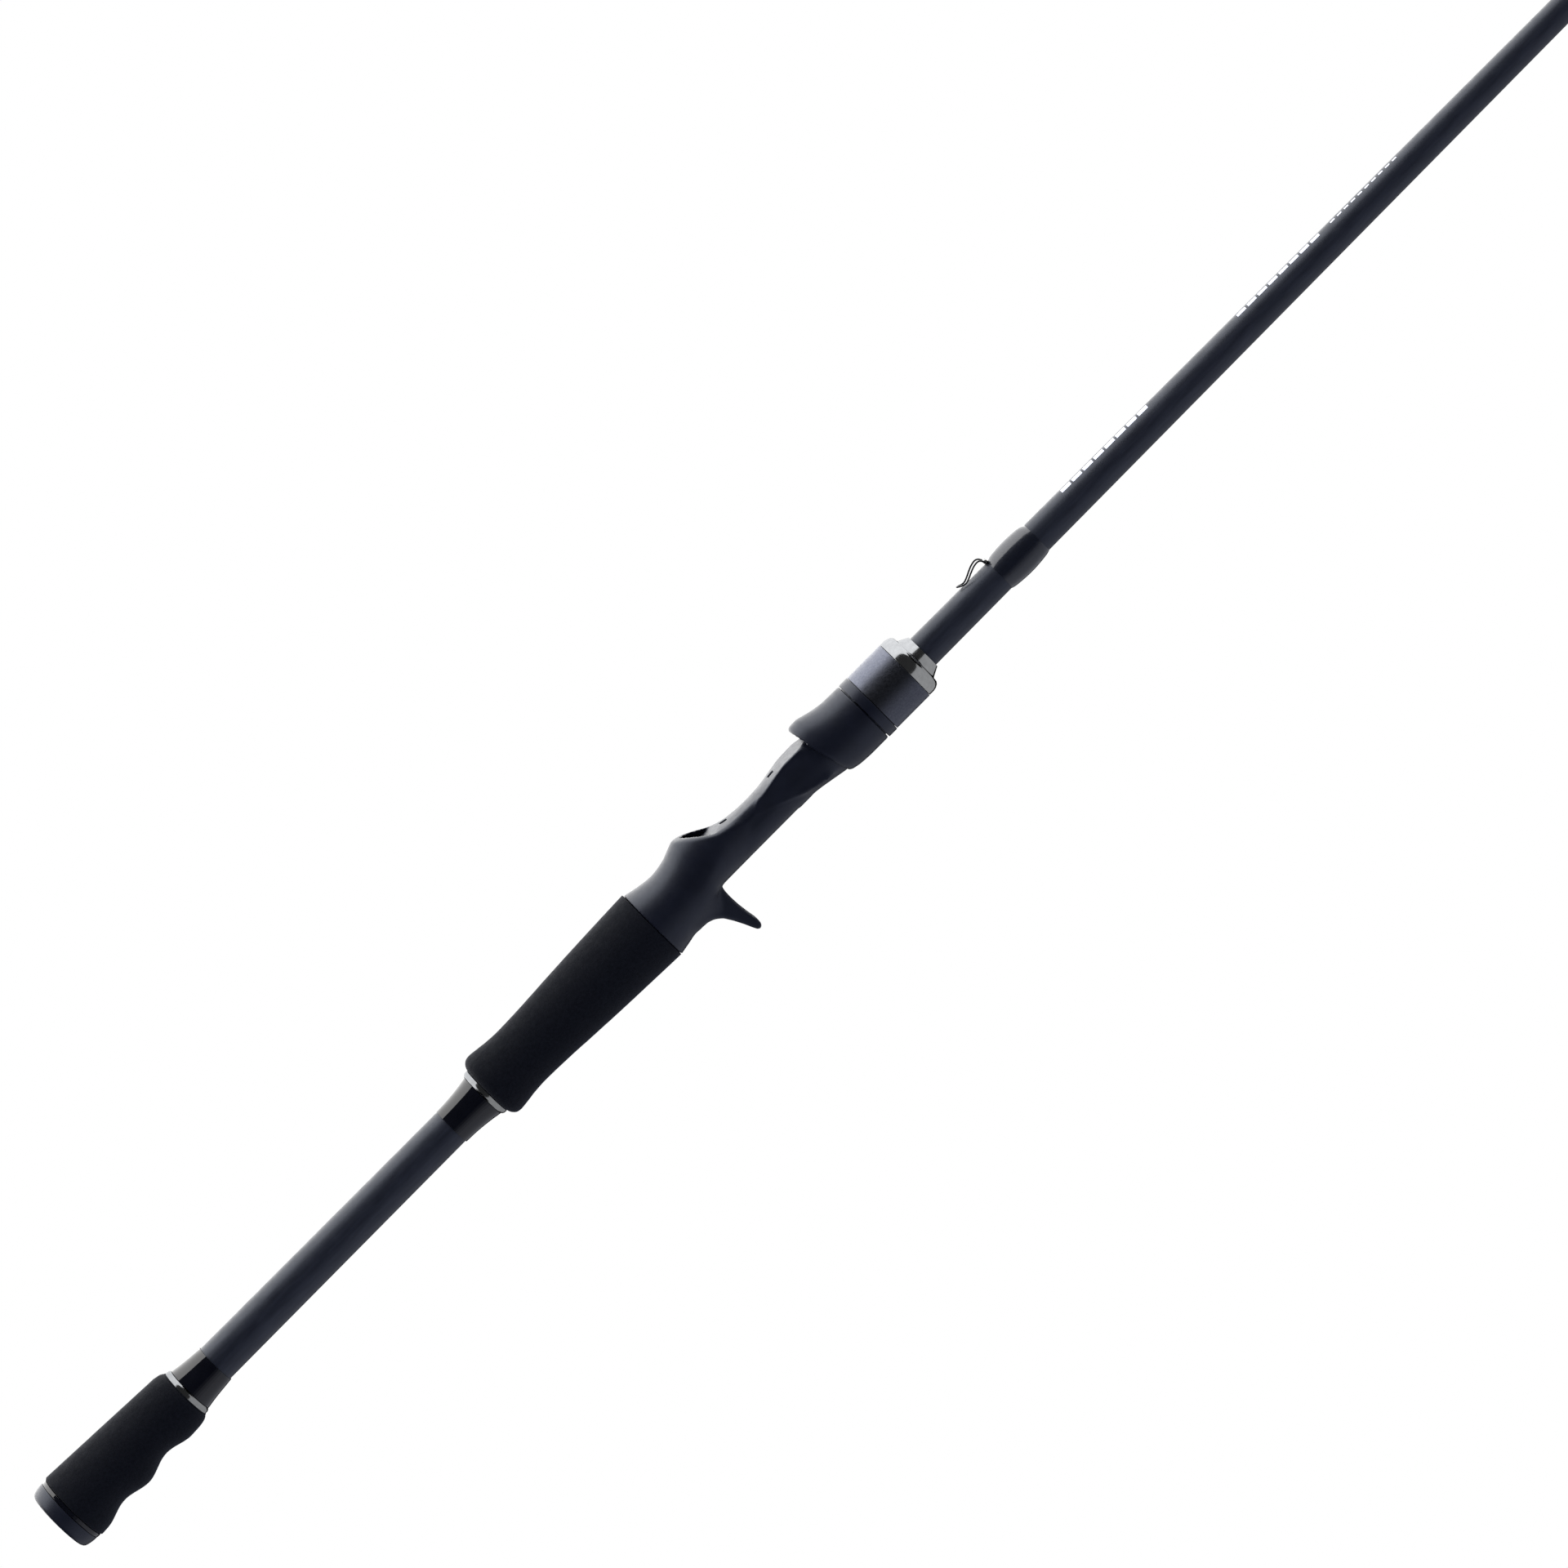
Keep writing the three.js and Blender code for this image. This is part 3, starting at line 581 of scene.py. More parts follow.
def stepped(points, spacing):
    """An outline of (x, radius) with no step along it longer than spacing."""
    fine = []
    for (x0, r0), (x1, r1) in zip(points, points[1:]):
        steps = max(1, math.ceil(math.hypot(x1 - x0, r1 - r0) / spacing))
        fine += [(x0 + (x1 - x0) * k / steps, r0 + (r1 - r0) * k / steps) for k in range(steps)]
    return fine + [points[-1]]


def butt_grip():
    start, end = span("butt_grip")
    outline = cad_outline("butt_grip")
    rear, front = outline[0][1], outline[-1][1]
    shoulder = 1.9
    corners = [
        (start, rear - 0.6), (start + 0.3, rear - 0.05, 0.3), (end - 4, front + 1.35),
        (end - 0.4, front + 0.75, shoulder), (end, 9.6),
    ]
    outer = stepped(rounded(corners), FOAM_STEP)
    return sleeve("butt_grip_fine", outer, FOAM_SIDES, grooved_skin, FOAM_SHARP)


def butt_cap():
    """The end cap: a broad shallow face, a rounded rim, and the plug inside the blank."""
    start, plug_end = span("butt_cap")
    end = span("butt_trim_ring")[0] - 0.12
    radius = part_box("butt_cap")[1].z / MM
    plug = blank_radius(BLANK_START) - 1.3
    outline = [
        (start + 0.35, 0), (start + 0.25, radius * 0.5), (start, radius - 3.0, 0.8),
        (start, radius - 0.9, 1.4), (start + 3.4, radius, 1.6), (end, radius, 0.15), (end, plug),
        (plug_end - 1, plug), (plug_end, plug - 1), (plug_end, 0),
    ]
    return turned("butt_cap_fine", rounded(outline), 128)


def ring_between(name, start, end, outer, bore, edge):
    """A plain ring with rounded outside edges."""
    outline = rounded([(start, bore), (start, outer, edge), (end, outer, edge), (end, bore)])
    return turned(name, outline, 128)


def winding_check(node, step):
    """The polished collar at the end of a grip. Its flat face bears on the foam, and it is
    rounded off towards the blank, which lies at step, -1 or 1, from it."""
    near, far = span(node)[::step]
    foam_face = near - step * 0.18
    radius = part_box(node)[1].z / MM
    outline = [
        (foam_face, radius - 0.2), (foam_face + step * 0.25, radius + 0.02, 0.2),
        (far - step * 0.75, radius - 0.05, 0.5), (far, radius - 0.75, 0.15), (far, radius - 1.1),
    ]
    return sleeve(f"{node}_fine", rounded(outline)[::step])


def trim_cone(node, fuller):
    """Gloss trim that flares from the blank up to a winding check. fuller is how much its
    middle swells."""
    curve = spline(cad_outline(node), 0.8)
    start, end = curve[0][0], curve[-1][0]
    full = [(x, r + fuller * math.sin(math.pi * (x - start) / (end - start))) for x, r in curve]
    return sleeve(f"{node}_fine", full)


finished(butt_cap(), "cap")
ring_start, ring_end = span("butt_trim_ring")
ring_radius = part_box("butt_trim_ring")[1].z / MM + 0.1
ring_bore = sleeve_bore(ring_start)
trim_ring = ring_between("butt_trim_ring_fine", ring_start, ring_end, ring_radius, ring_bore, 0.3)
finished(trim_ring, "trim")
finished(butt_grip(), "foam")
finished(winding_check("butt_winding_check", 1), "check")
finished(trim_cone("butt_trim_cone", 0.3), "trim")

# ---- Blank --------------------------------------------------------------------------------

WALL = (1.15, 0.5)  # the tube's thickness at the butt and at the tip


def blank_tube():
    """The tapered tube, with the shallow spiral of the tape that it was cured under."""
    stations = np.arange(BLANK_START, BLANK_END, TAPE_PITCH / 2)

    def spiral(x, angle, radius):
        on_outside = radius > blank_radius(x) - 0.2
        turn = 2 * math.pi * x / TAPE_PITCH + angle
        return radius + (TAPE_DEPTH * math.cos(turn) if on_outside else 0)

    outer = [(x, blank_radius(x)) for x in stations] + [(BLANK_END, blank_radius(BLANK_END))]
    bore = [
        (x, blank_radius(x) - np.interp(x, (BLANK_START, BLANK_END), WALL))
        for x in np.linspace(BLANK_END, BLANK_START, 40)
    ]
    return turned("blank_fine", outer + bore, 48, spiral)


finished(blank_tube(), "blank")

# ---- Printed marks ------------------------------------------------------------------------

MARK_THICKNESS = 0.03


def mark(name, start, end, angle, width):
    """A printed stroke on the blank from start to end, width wide, at an angle from the top
    towards +Y."""
    rows, columns = 5, max(2, math.ceil((end - start) / 2))
    vertices, faces = [], []
    for lift in (0.004, MARK_THICKNESS):
        for i in range(columns + 1):
            x = start + (end - start) * i / columns
            radius = blank_radius(x) + TAPE_DEPTH + lift
            for j in range(rows + 1):
                turn = angle + width * (j / rows - 0.5) / radius
                vertices.append((x, radius * math.sin(turn), radius * math.cos(turn)))
    layer = (columns + 1) * (rows + 1)

    def at(i, j, top):
        return top * layer + i * (rows + 1) + j

    for i in range(columns):
        n = i + 1
        for j in range(rows):
            faces.append([at(i, j, 1), at(n, j, 1), at(n, j + 1, 1), at(i, j + 1, 1)])
            faces.append([at(i, j, 0), at(i, j + 1, 0), at(n, j + 1, 0), at(n, j, 0)])
        faces.append([at(i, 0, 0), at(n, 0, 0), at(n, 0, 1), at(i, 0, 1)])
        faces.append([at(i, rows, 0), at(i, rows, 1), at(n, rows, 1), at(n, rows, 0)])
    for j in range(rows):
        n = j + 1
        faces.append([at(0, j, 0), at(0, j, 1), at(0, n, 1), at(0, n, 0)])
        faces.append([at(columns, j, 0), at(columns, n, 0), at(columns, n, 1), at(columns, j, 1)])
    return add_object(name, vertices, faces)


def marks(name, strokes):
    """Several strokes as one piece."""
    parts = [mark(f"{name}_{i}", *stroke) for i, stroke in enumerate(strokes)]
    with bpy.context.temp_override(
        active_object=parts[0], object=parts[0], selected_editable_objects=parts
    ):
        bpy.ops.object.join()
    parts[0].name = parts[0].data.name = name
    return parts[0]


MARK_SIDE = math.radians(-19)  # on the near side of the top, where they show edge-on
for name, first, pitch, length, width, count in (
    ("blank_marks_long", 474.5, 5.1, 4.2, 2.1, 8),
    ("blank_marks_later", 556.5, 4.9, 3.9, 1.7, 8),
    ("blank_marks_fine", 600, 3.2, 1.9, 0.8, 10),
):
    starts = [first + pitch * i for i in range(count)]
    strokes = [(start, start + length, MARK_SIDE, width) for start in starts]
    finished(marks(name, strokes), "ink", replaces=False)

# ---- Rear grip ----------------------------------------------------------------------------

finished(trim_cone("rear_trim_cone", 0.0), "trim")
finished(winding_check("rear_winding_check", -1), "check")


def rear_grip():
    start, end = span("rear_grip")
    outline = [
        (start, 9.3), (start + 0.15, 9.9), (start + 0.6, 10.8), (start + 1.5, 11.75),
        (start + 2.5, 12.2), (start + 3.8, 12.35), (start + 6, 12.15), (start + 11.5, 11.5),
        (start + 17, 11.3), (start + 27, 11.6), (start + 38, 12.2), (start + 50, 12.8),
        (start + 64, 13.35), (end - 1.2, 13.75), (end - 0.2, 13.75),
    ]
    outer = [tuple(point) for point in spline(outline, FOAM_STEP)] + [(end, 13.5)]
    return sleeve("rear_grip_fine", outer, FOAM_SIDES, foam_skin, FOAM_SHARP)


finished(rear_grip(), "foam")

# ---- Reel seat ----------------------------------------------------------------------------

BORE = 6.5
REAR_BORE, REAR_BORE_DEPTH = 9.6, 12
FRONT_BORE, FRONT_BORE_START = 7.3, 362
BARREL_RADIUS = 9.5
FOOT_BED = 8.0
DRAIN_SLOTS = ((317.3, 319.8), (339.4, 342))
KEYWAY = ((362, -1.7, -11), (392, 1.7, -8.9))  # under the barrel, for the key inside the hood

REAR_TOP = [
    (278, 13.3), (283, 12.2), (289, 11.5), (295, 12.4), (299, 13.9), (302.4, 15.05), (306, 15.3),
]
REAR_BOTTOM = [
    (278, 13.8), (283, 12.9), (289, 11.6), (295, 11.1), (299, 9.8), (301.5, 8.4), (303.2, 7.4),
    (305, 7.2),
]
REAR_SIDE = [
    (278, 13.6), (283, 12.7), (289, 11.6), (295, 11.2), (302.4, 11.3), (308, 10.9), (312, 10.3),
    (316, 9.2), (319, 8.5), (322, 8.0), (327, 7.4), (345, 7.1),
]
# The rear hood opens along this line, and the bed runs on from it under the sliding hood.
BED_LINE = [
    (300, 16.5), (302.4, 15.15), (305, 13.9), (308, 12.3), (310.5, 10.9), (313, 9.5), (315.5, 8.4),
    (318, 7.7), (321, 7.2), (325, 6.95), (329, 6.85), (333, 6.95), (337, 7.2), (341, 7.6),
    (346, 7.9), (351, FOOT_BED), (396, FOOT_BED),
]
# The bed is arched: this is how far it has dropped at BED_HALF from its middle.
BED_DROP = [
    (302, 0), (310, 0.7), (316, 0.8), (321, 1.0), (325, 1.4), (333, 1.4), (337, 1.0), (346, 0),
]
BED_HALF = 8.0
# Along its margin it falls further, where the rear hood's rim runs out into the wall.
MARGIN = 1.5
MARGIN_FALL = [(312, 0), (317, 0.4), (321.5, 1.2), (325, 2.0), (329, 1.5), (332, 0), (396, 0)]
# The upright walls beside the bed: their half width, and the height of the crease under them.
WALL_SIDE = [
    (316, 8.8), (320, 8.2), (325, 7.6), (332, 7.45), (338, 7.5), (345, 7.7), (350, 8.15),
    (356, 8.7),
]
CREASE = [
    (316, 6.2), (320, 5.1), (325, 3.6), (329, 2.3), (335, 0.1), (340, -1.9), (345, -4.0),
    (356, -6.6),
]
TUBE = 7.2
TRIGGER = [
    (303.2, -5), (303.15, -7.3), (302.8, -9.3), (302.65, -12.8), (302.8, -16.2), (303.25, -20.0),
    (303.75, -23.0), (303.8, -24.7), (303.3, -25.8), (302.4, -26.25), (301.5, -25.8),
    (300.7, -24.2), (299.5, -21.4), (297.8, -18.0), (296.1, -15.1), (293.6, -12.7), (291.6, -11.5),
    (288.4, -10.9), (286, -9), (286, -5),
]


def oval(y, z, top, bottom, side, middle=0.0):
    """A section with its own height above its middle and depth below it."""
    height = np.where(z > middle, top, bottom)
    share = np.sqrt((y / side) ** 2 + ((z - middle) / height) ** 2)
    return (share - 1) * np.minimum(side, height)


def within(field, x, start, end):
    """The field between two planes across the X axis."""
    return np.maximum(field, np.maximum(start - x, x - end))


def bar(x, y, z, radius, start, end):
    """A round bar along the X axis."""
    return within(np.hypot(y, z) - radius, x, start, end)


def rear_body(x, y, z):
    side = curve_at(REAR_SIDE, x)
    middle = np.interp(x, (300, 314), (0.0, 4.0))
    top, bottom = curve_at(REAR_TOP, x) - middle, curve_at(REAR_BOTTOM, x) + middle
    return within(oval(y, z, top, bottom, side, middle), x, SEAT_START, 345)


def rear_pocket(x, y, z):
    """The space under the rear hood that one end of the reel foot slides into."""
    side = curve_at(REAR_SIDE, x) - 1.5
    middle = np.interp(x, (300, 314), (0.0, 4.0))
    ceiling = np.interp(x, (294, 303), (10.6, 13.55)) - middle
    arch = oval(y, z, ceiling, ceiling, side, middle)
    return within(np.maximum(arch, FOOT_BED - z), x, 294, 330)


def walls(x, y, z):
    """The body beside and under the bed: upright walls down to a crease, and flat flanks from
    the crease to the tube."""
    side, crease = curve_at(WALL_SIDE, x), curve_at(CREASE, x)
    lean = np.arccos(np.minimum(TUBE / np.hypot(side, crease), 1)) - np.arctan2(crease, side)
    flank = np.abs(y) * np.cos(lean) - z * np.sin(lean) - TUBE
    under = -TUBE * np.sin(lean) - z
    section = np.maximum(np.abs(y) - side, np.maximum(flank, under))
    barrel = np.hypot(y, z) - np.interp(x, (352, 356.5), (12.0, BARREL_RADIUS - 0.2))
    return within(without(section, -barrel, 1.6), x, 316, 358)


def bed(x, y, z):
    """Everything above the bed, which is arched where the tube is thinnest."""
    drop = curve_at(BED_DROP, x) * np.minimum(np.abs(y) / BED_HALF, 1.3) ** 2
    into_margin = (np.abs(y) - curve_at(WALL_SIDE, x) + MARGIN) / MARGIN
    fall = curve_at(MARGIN_FALL, x) * np.clip(into_margin, 0, 1.3) ** 1.5
    return curve_at(BED_LINE, x) - drop - fall - z


def trigger_body(x, y, z):
    edge = np.interp(-z, (18, 25), (1.4, 0.7))
    half = np.interp(-z, (8, 26), (5.0, 3.7))
    flat = outline_field(x, z, TRIGGER) + edge
    across = np.abs(y) - half + edge
    rim = np.hypot(np.maximum(flat, 0), np.maximum(across, 0))
    return rim + np.minimum(np.maximum(flat, across), 0) - edge


def seat_field(x, y, z):
    body = either(rear_body(x, y, z), bar(x, y, z, TUBE, 303, 350), 0.3)
    body = either(body, walls(x, y, z), 0.3)
    flare = np.interp(x, (346.5, 359.4), (TUBE, BARREL_RADIUS))
    body = either(body, within(np.hypot(y, z) - flare, x, 340, BARREL_END), 0.9)
    blend = np.interp(x, (298, 302), (4.0, 0.3))
    body = either(body, trigger_body(x, y, z), blend)
    edge = np.interp(x, (316, 324), (1.0, 0.5))
    body = without(np.maximum(body, SEAT_START - x), bed(x, y, z), edge)
    body = without(body, rear_pocket(x, y, z), 0.35)
    cuts = [bar(x, y, z, BORE, 270, 400), box_field(x, y, z, *KEYWAY, 0.2)]
    cuts.append(bar(x, y, z, REAR_BORE, 270, SEAT_START + REAR_BORE_DEPTH))
    cuts.append(bar(x, y, z, FRONT_BORE, FRONT_BORE_START, 400))
    for start, end in DRAIN_SLOTS:
        cuts.append(box_field(x, y, z, (start, -1.3, 5), (end, 1.3, 12), 0.3))
    for cut in cuts:
        body = np.maximum(body, -cut)
    return body


seat = meshed("reel_seat_fine", seat_field, (277, -14.2, -27), (396, 14.2, 15.6), 0.45, smoothing=1)
finished(seat, "seat")
repainted("rear_arbor", "arbor")
repainted("front_arbor", "arbor")

# ---- Sliding hood -------------------------------------------------------------------------

HOOD_END = 377
HOOD_BORE = 9.8
SOCKET, SOCKET_START = 10.75, 372.7  # the wider bore at its front, for the nut's neck
HOOD_TOP = [
    (353, 13.8), (355, 13.95), (359, 14.1), (361.8, 13.4), (364.5, 12.7), (367, 12.2),
    (370, 11.85), (377, 11.7),
]
HOOD_BOTTOM = [(353, 10.1), (359, 10.4), (361.8, 10.9), (364.5, 11.4), (370, 11.7), (377, 11.7)]
HOOD_SIDE = [(353, 11.3), (359, 11.4), (365, 11.6), (370, 11.7), (377, 11.7)]
HOOD_LEAN = math.atan2(5.4, 25)
ARCH_MIDDLE = 3.4


def hood_field(x, y, z):
    outer = oval(y, z, *(curve_at(rows, x) for rows in (HOOD_TOP, HOOD_BOTTOM, HOOD_SIDE)))
    body = without(outer, HOOD_END - x, 0.8)
    rear = (x - 357.5) * math.cos(HOOD_LEAN) + z * math.sin(HOOD_LEAN)
    body = without(body, rear, 2.2)
    ceiling = np.interp(x, (357, 367), (12.7, 9.9)) - ARCH_MIDDLE
    arch = np.maximum(np.hypot(y, z - ARCH_MIDDLE) - ceiling, FOOT_BED - 0.6 - z)
    body = without(body, either(arch, bar(x, y, z, HOOD_BORE, 340, SOCKET_START)), 0.3)
    body = np.maximum(body, -bar(x, y, z, SOCKET, SOCKET_START, 380))
    return either(body, box_field(x, y, z, (363.5, -1.4, -10.6), (370, 1.4, -9.2), 0.15))


hood = meshed("front_hood_fine", hood_field, (353.6, -12.2, -12.2), (377.2, 12.2, 14.6), 0.28)
finished(hood, "seat", "hood")
repainted("hood_liner", "polished")

# ---- Lock nut -----------------------------------------------------------------------------

CORE_OUTSIDE = 10.75
repainted("lock_nut", "nut")
ring_from, ring_to = span("nut_ring")
nut_ring = ring_between("nut_ring_fine", ring_from, ring_to - 0.04, 11.85, CORE_OUTSIDE, 0.3)
finished(nut_ring, "nut", "lock_nut")
sleeve_from, sleeve_to = span("nut_sleeve")
nut_sleeve = ring_between("nut_sleeve_fine", sleeve_from, sleeve_to, 11.7, CORE_OUTSIDE, 0.18)
finished(nut_sleeve, "nut_sleeve", "lock_nut")


def nut_front_cap():
    """A polished shell: a rounded shoulder, a step, and a cone down to the blank."""
    start, end = span("nut_front_cap")
    outline = rounded(
        [
            (start, 9.9), (start, 11.6, 0.15), (start + 2.0, 11.6), (start + 3.1, 11.35),
            (start + 4.1, 10.8), (start + 4.75, 10.0, 0.3), (start + 4.85, 8.7, 0.2),
            (start + 5.2, 8.4), (end - 0.1, 6.7, 0.1), (end - 0.1, 6.45), (start + 5.2, 6.7),
            (start + 3.9, 9.2), (start + 2.5, 9.9),
        ]
    )
    return turned("nut_front_cap_fine", outline, 128, sharp_angle=24)


finished(nut_front_cap(), "polished", "lock_nut")

# ---- Wires --------------------------------------------------------------------------------


def tube(name, curve, radius, sides):
    """A closed round bar swept along a smooth curve that starts across Z, with flat ends."""
    tangents = np.gradient(curve, axis=0)
    tangents /= np.linalg.norm(tangents, axis=1)[:, None]
    side = np.cross(tangents[0], (0.0, 0.0, 1.0))
    vertices, rings = [], []
    for point, tangent in zip(curve, tangents):
        side = side - tangent * side.dot(tangent)
        side /= np.linalg.norm(side)
        other = np.cross(tangent, side)
        rings.append(range(len(vertices), len(vertices) + sides))
        for k in range(sides):
            a = 2 * math.pi * k / sides
            vertices.append(point + radius * (math.cos(a) * side + math.sin(a) * other))
    faces = []
    for ring, following in zip(rings, rings[1:]):
        for k in range(sides):
            n = (k + 1) % sides
            faces.append([ring[k], ring[n], following[n], following[k]])
    faces.append(list(rings[0])[::-1])
    faces.append(list(rings[-1]))
    return add_object(name, vertices, faces)


KEEPER_WIRE = 0.3
PIVOT_X, PIVOT_Z = 440.4, 6.75


def keeper_loop():
    side = [
        (PIVOT_X, 0.0, PIVOT_Z), (PIVOT_X, 1.6, PIVOT_Z), (PIVOT_X - 0.05, 2.25, PIVOT_Z + 0.1),
        (PIVOT_X - 0.4, 2.6, 7.5), (439.3, 2.62, 8.45), (438.2, 2.6, 8.85), (436.4, 2.5, 8.55),
        (434.4, 2.4, 7.75), (432.6, 2.25, 6.9), (431.0, 2.0, 6.35), (429.7, 1.55, 6.5),
        (428.5, 0.85, 7.0),
    ]
    far = [(x, -y, z) for x, y, z in reversed(side)]
    curve = spline(side[1:] + [(427.9, 0, 7.3)] + far[:-1], 0.12)
    return tube("hook_keeper_fine", curve, KEEPER_WIRE, 16)


finished(keeper_loop(), "wire", "keeper")


def keeper_bracket_field(x, y, z):
    barrel = np.maximum(np.hypot(x - PIVOT_X, z - PIVOT_Z) - 0.72, np.abs(y) - 1.9)
    foot = box_field(x, y, z, (PIVOT_X, -1.05, 6), (453, 1.05, 6.35), 0.1)
    bore = np.maximum(np.hypot(x - PIVOT_X, z - PIVOT_Z) - 0.38, np.abs(y) - 3)
    return np.maximum(either(barrel, foot, 0.15), -bore)


low, high = (439.5, -2, 5.8), (453.2, 2, 7.6)
bracket = meshed("keeper_bracket_fine", keeper_bracket_field, low, high, 0.07, smoothing=1)
finished(bracket, "wire")

# ---- Thread wraps -------------------------------------------------------------------------


def thread_wrap(node, cover, lift, thread=0.2, sides=64, crown=0.0, early=0.0):
    """Thread wound over a foot, under varnish that feathers out at both ends. lift raises the
    top, over the foot, and crown the middle. early is how far it starts before the CAD one."""
    start, end = span(node)
    start -= early
    steps = max(24, round((end - start) / thread * 4))
    length = end - start
    outline = []
    for i in range(steps + 1):
        x = start + length * i / steps
        reach = min(x - start, end - x)
        rise = min(1.0, reach / (0.11 * length))
        swell = 0.12 + (cover - 0.12) * math.sin(rise * math.pi / 2)
        ribs = 0.014 * math.cos(2 * math.pi * x / thread) * rise
        belly = crown * math.sin(math.pi * i / steps)
        outline.append((x, blank_radius(x) + swell + belly + ribs))
    bore = [(end, blank_radius(end) + 0.06), (start, blank_radius(start) + 0.06)]
    thin = 0.1

    def over_foot(x, angle, radius):
        base = blank_radius(x) + thin
        if radius < base:
            return radius
        rise = min(1.0, min(x - start, end - x) / (0.16 * length))
        bump = lift * math.exp(-((math.atan2(math.sin(angle), math.cos(angle)) / 0.42) ** 2))
        return radius + bump * math.sin(rise * math.pi / 2) + 0.012 * noise.noise((x, angle * 3, 0))

    return turned(f"{node}_fine", outline + bore, sides, over_foot)


finished(thread_wrap("keeper_wrap", 0.32, 0.45, crown=0.68, early=0.7), "wrap")

# ---- Guides -------------------------------------------------------------------------------


def guide_ring(node, size, x, height):
    """The ceramic ring, rounded where the line runs."""
    low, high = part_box(node)
    half = (high.x - low.x) / MM / 2
    inner, outer = size * 0.37, size / 2
    turns = [2 * math.pi * i / 28 for i in range(28)]
    middle, depth = (outer + inner) / 2, (outer - inner) / 2 - 0.02
    ring = [(half * math.cos(a), middle + depth * math.sin(a)) for a in turns]
    piece = turned(f"{node}_fine", ring, 72)
    piece.data.transform(Matrix.Translation(Vector((x, 0, height)) * MM))
    return piece


def hoop_field(x, r, half, inner, outer):
    """A flat hoop, at a distance x along its axis and r out from it."""
    return np.maximum(np.abs(r - (inner + outer) / 2) - (outer - inner) / 2, np.abs(x) - half)


def opened(body, x, r, inner):
    """The body with the space inside its hoop left free."""
    return np.maximum(body, -np.maximum(r - inner, np.abs(x) - 4))


def frame_of_guide(node, size, x, height, directions):
    """The hoop, its legs and its feet, as one smooth body."""
    low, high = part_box(node)
    half = 0.4 + size * 0.03
    inner = size / 2 + 0.08
    outer = inner + 0.5 + size * 0.02
    leg = 0.3 + size * 0.025
    reach = size * 0.9 + 2.5
    length = size + 4
    spread = math.radians(50)
    out, down = (size / 2 + 0.45) * math.sin(spread), (size / 2 + 0.45) * math.cos(spread)
    width = size * 0.12 + 1.1

    def field(px, py, pz):
        r = np.hypot(py, pz - height)
        body = hoop_field(px - x, r, half, inner, outer)
        for direction in directions:
            start = x + direction * reach
            bottom = max(blank_radius(start), blank_radius(x)) + 0.12
            for hand in (-1, 1):
                points = [
                    (x, hand * out, height - down),
                    (x + direction * reach * 0.55, hand * size * 0.16, bottom + size * 0.28),
                    (start + direction * 0.8, hand * 0.45, bottom + 0.4),
                ]
                body = either(body, rod_field(px, py, pz, spline(points, 1.2), leg), 0.25)
            toe = start + direction * length
            foot_top = np.interp(
                direction * px,
                sorted([direction * (start + direction * 3), direction * toe]),
                (bottom + 0.6, bottom + 0.2),
            )
            edges = sorted([start - direction * 0.4, toe])
            foot = np.maximum(
                np.maximum(np.abs(py) - width / 2, np.maximum(bottom - pz, pz - foot_top)),
                np.maximum(edges[0] - px, px - edges[1]),
            )
            body = either(body, foot, 0.3)
        return opened(body, px - x, r, inner)

    return meshed(f"{node}_fine", field, low / MM, high / MM, 0.16, smoothing=1)


GUIDES = sorted(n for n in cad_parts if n.startswith("guide_") and n.endswith("_ring"))
for ring_node in GUIDES:
    base = ring_node.removesuffix("_ring")
    low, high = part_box(ring_node)
    middle = (low + high) / 2 / MM
    size = (high.z - low.z) / MM
    wraps = sorted(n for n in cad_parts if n.startswith(base) and n.endswith("_wrap"))
    directions = (-1, 1) if len(wraps) == 2 else (1,)
    finished(guide_ring(ring_node, size, middle.x, middle.z), "ring")
    guide_frame = frame_of_guide(f"{base}_frame", size, middle.x, middle.z, directions)
    finished(guide_frame, "wire")
    for wrap in wraps:
        finished(thread_wrap(wrap, 0.62, 0.55, 0.25, 48), "wrap")

finished(thread_wrap("tip_wrap", 0.36, 0, 0.2, 40), "wrap")


def tip_top_frame():
    """The tube over the blank's tip, the hoop, its two braces and the loop under it."""
    low, high = (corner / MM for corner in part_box("tip_top_frame"))
    ring_low, ring_high = (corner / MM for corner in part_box("tip_top_ring"))
    ring = (ring_low + ring_high) / 2
    ring_radius = (ring_high.z - ring_low.z) / 2
    inner, outer = ring_radius + 0.05, high.z - ring.z
    tube_end = low.x + 16.5
    brace = [
        (tube_end - 7, 0.9, 1.1), (tube_end - 1, 2, 2.8), (ring.x, ring_radius + 0.35, ring.z),
    ]
    loop = [
        (tube_end - 2, 0.5, -1.1), (tube_end + 3, 0.6, 0),
        (ring.x, 0.7, ring.z - ring_radius - 0.3),
    ]

    def field(x, y, z):
        r = np.hypot(y, z - ring.z)
        body = hoop_field(x - ring.x, r, 0.5, inner, outer)
        for hand, side in itertools.product((-1, 1), (brace, loop)):
            path = spline([(px, hand * py, pz) for px, py, pz in side], 0.8)
            body = either(body, rod_field(x, y, z, path, 0.33), 0.2)
        body = either(body, bar(x, y, z, 1.5, low.x, tube_end), 0.2)
        body = np.maximum(body, -bar(x, y, z, 1.1, low.x - 1, tube_end - 0.6))
        return opened(body, x - ring.x, r, inner)

    return meshed("tip_top_frame_fine", field, low, high, 0.1, smoothing=1)


finished(tip_top_frame(), "wire")
low, high = (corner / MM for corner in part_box("tip_top_ring"))
middle = (low + high) / 2
finished(guide_ring("tip_top_ring", high.z - low.z, middle.x, middle.z), "ring")

# ---- Camera, floor and light --------------------------------------------------------------

TILT = math.radians(11)  # the camera looks down on the rod by this much
ROLL = math.radians(45.17)  # the rod rises across the picture
CAMERA_DISTANCE = 2.9
HALF_WIDTH = 0.2589  # metres across half of the picture, at the rod
TARGET_X = 0.3416
TARGET_RISE = 0.0018

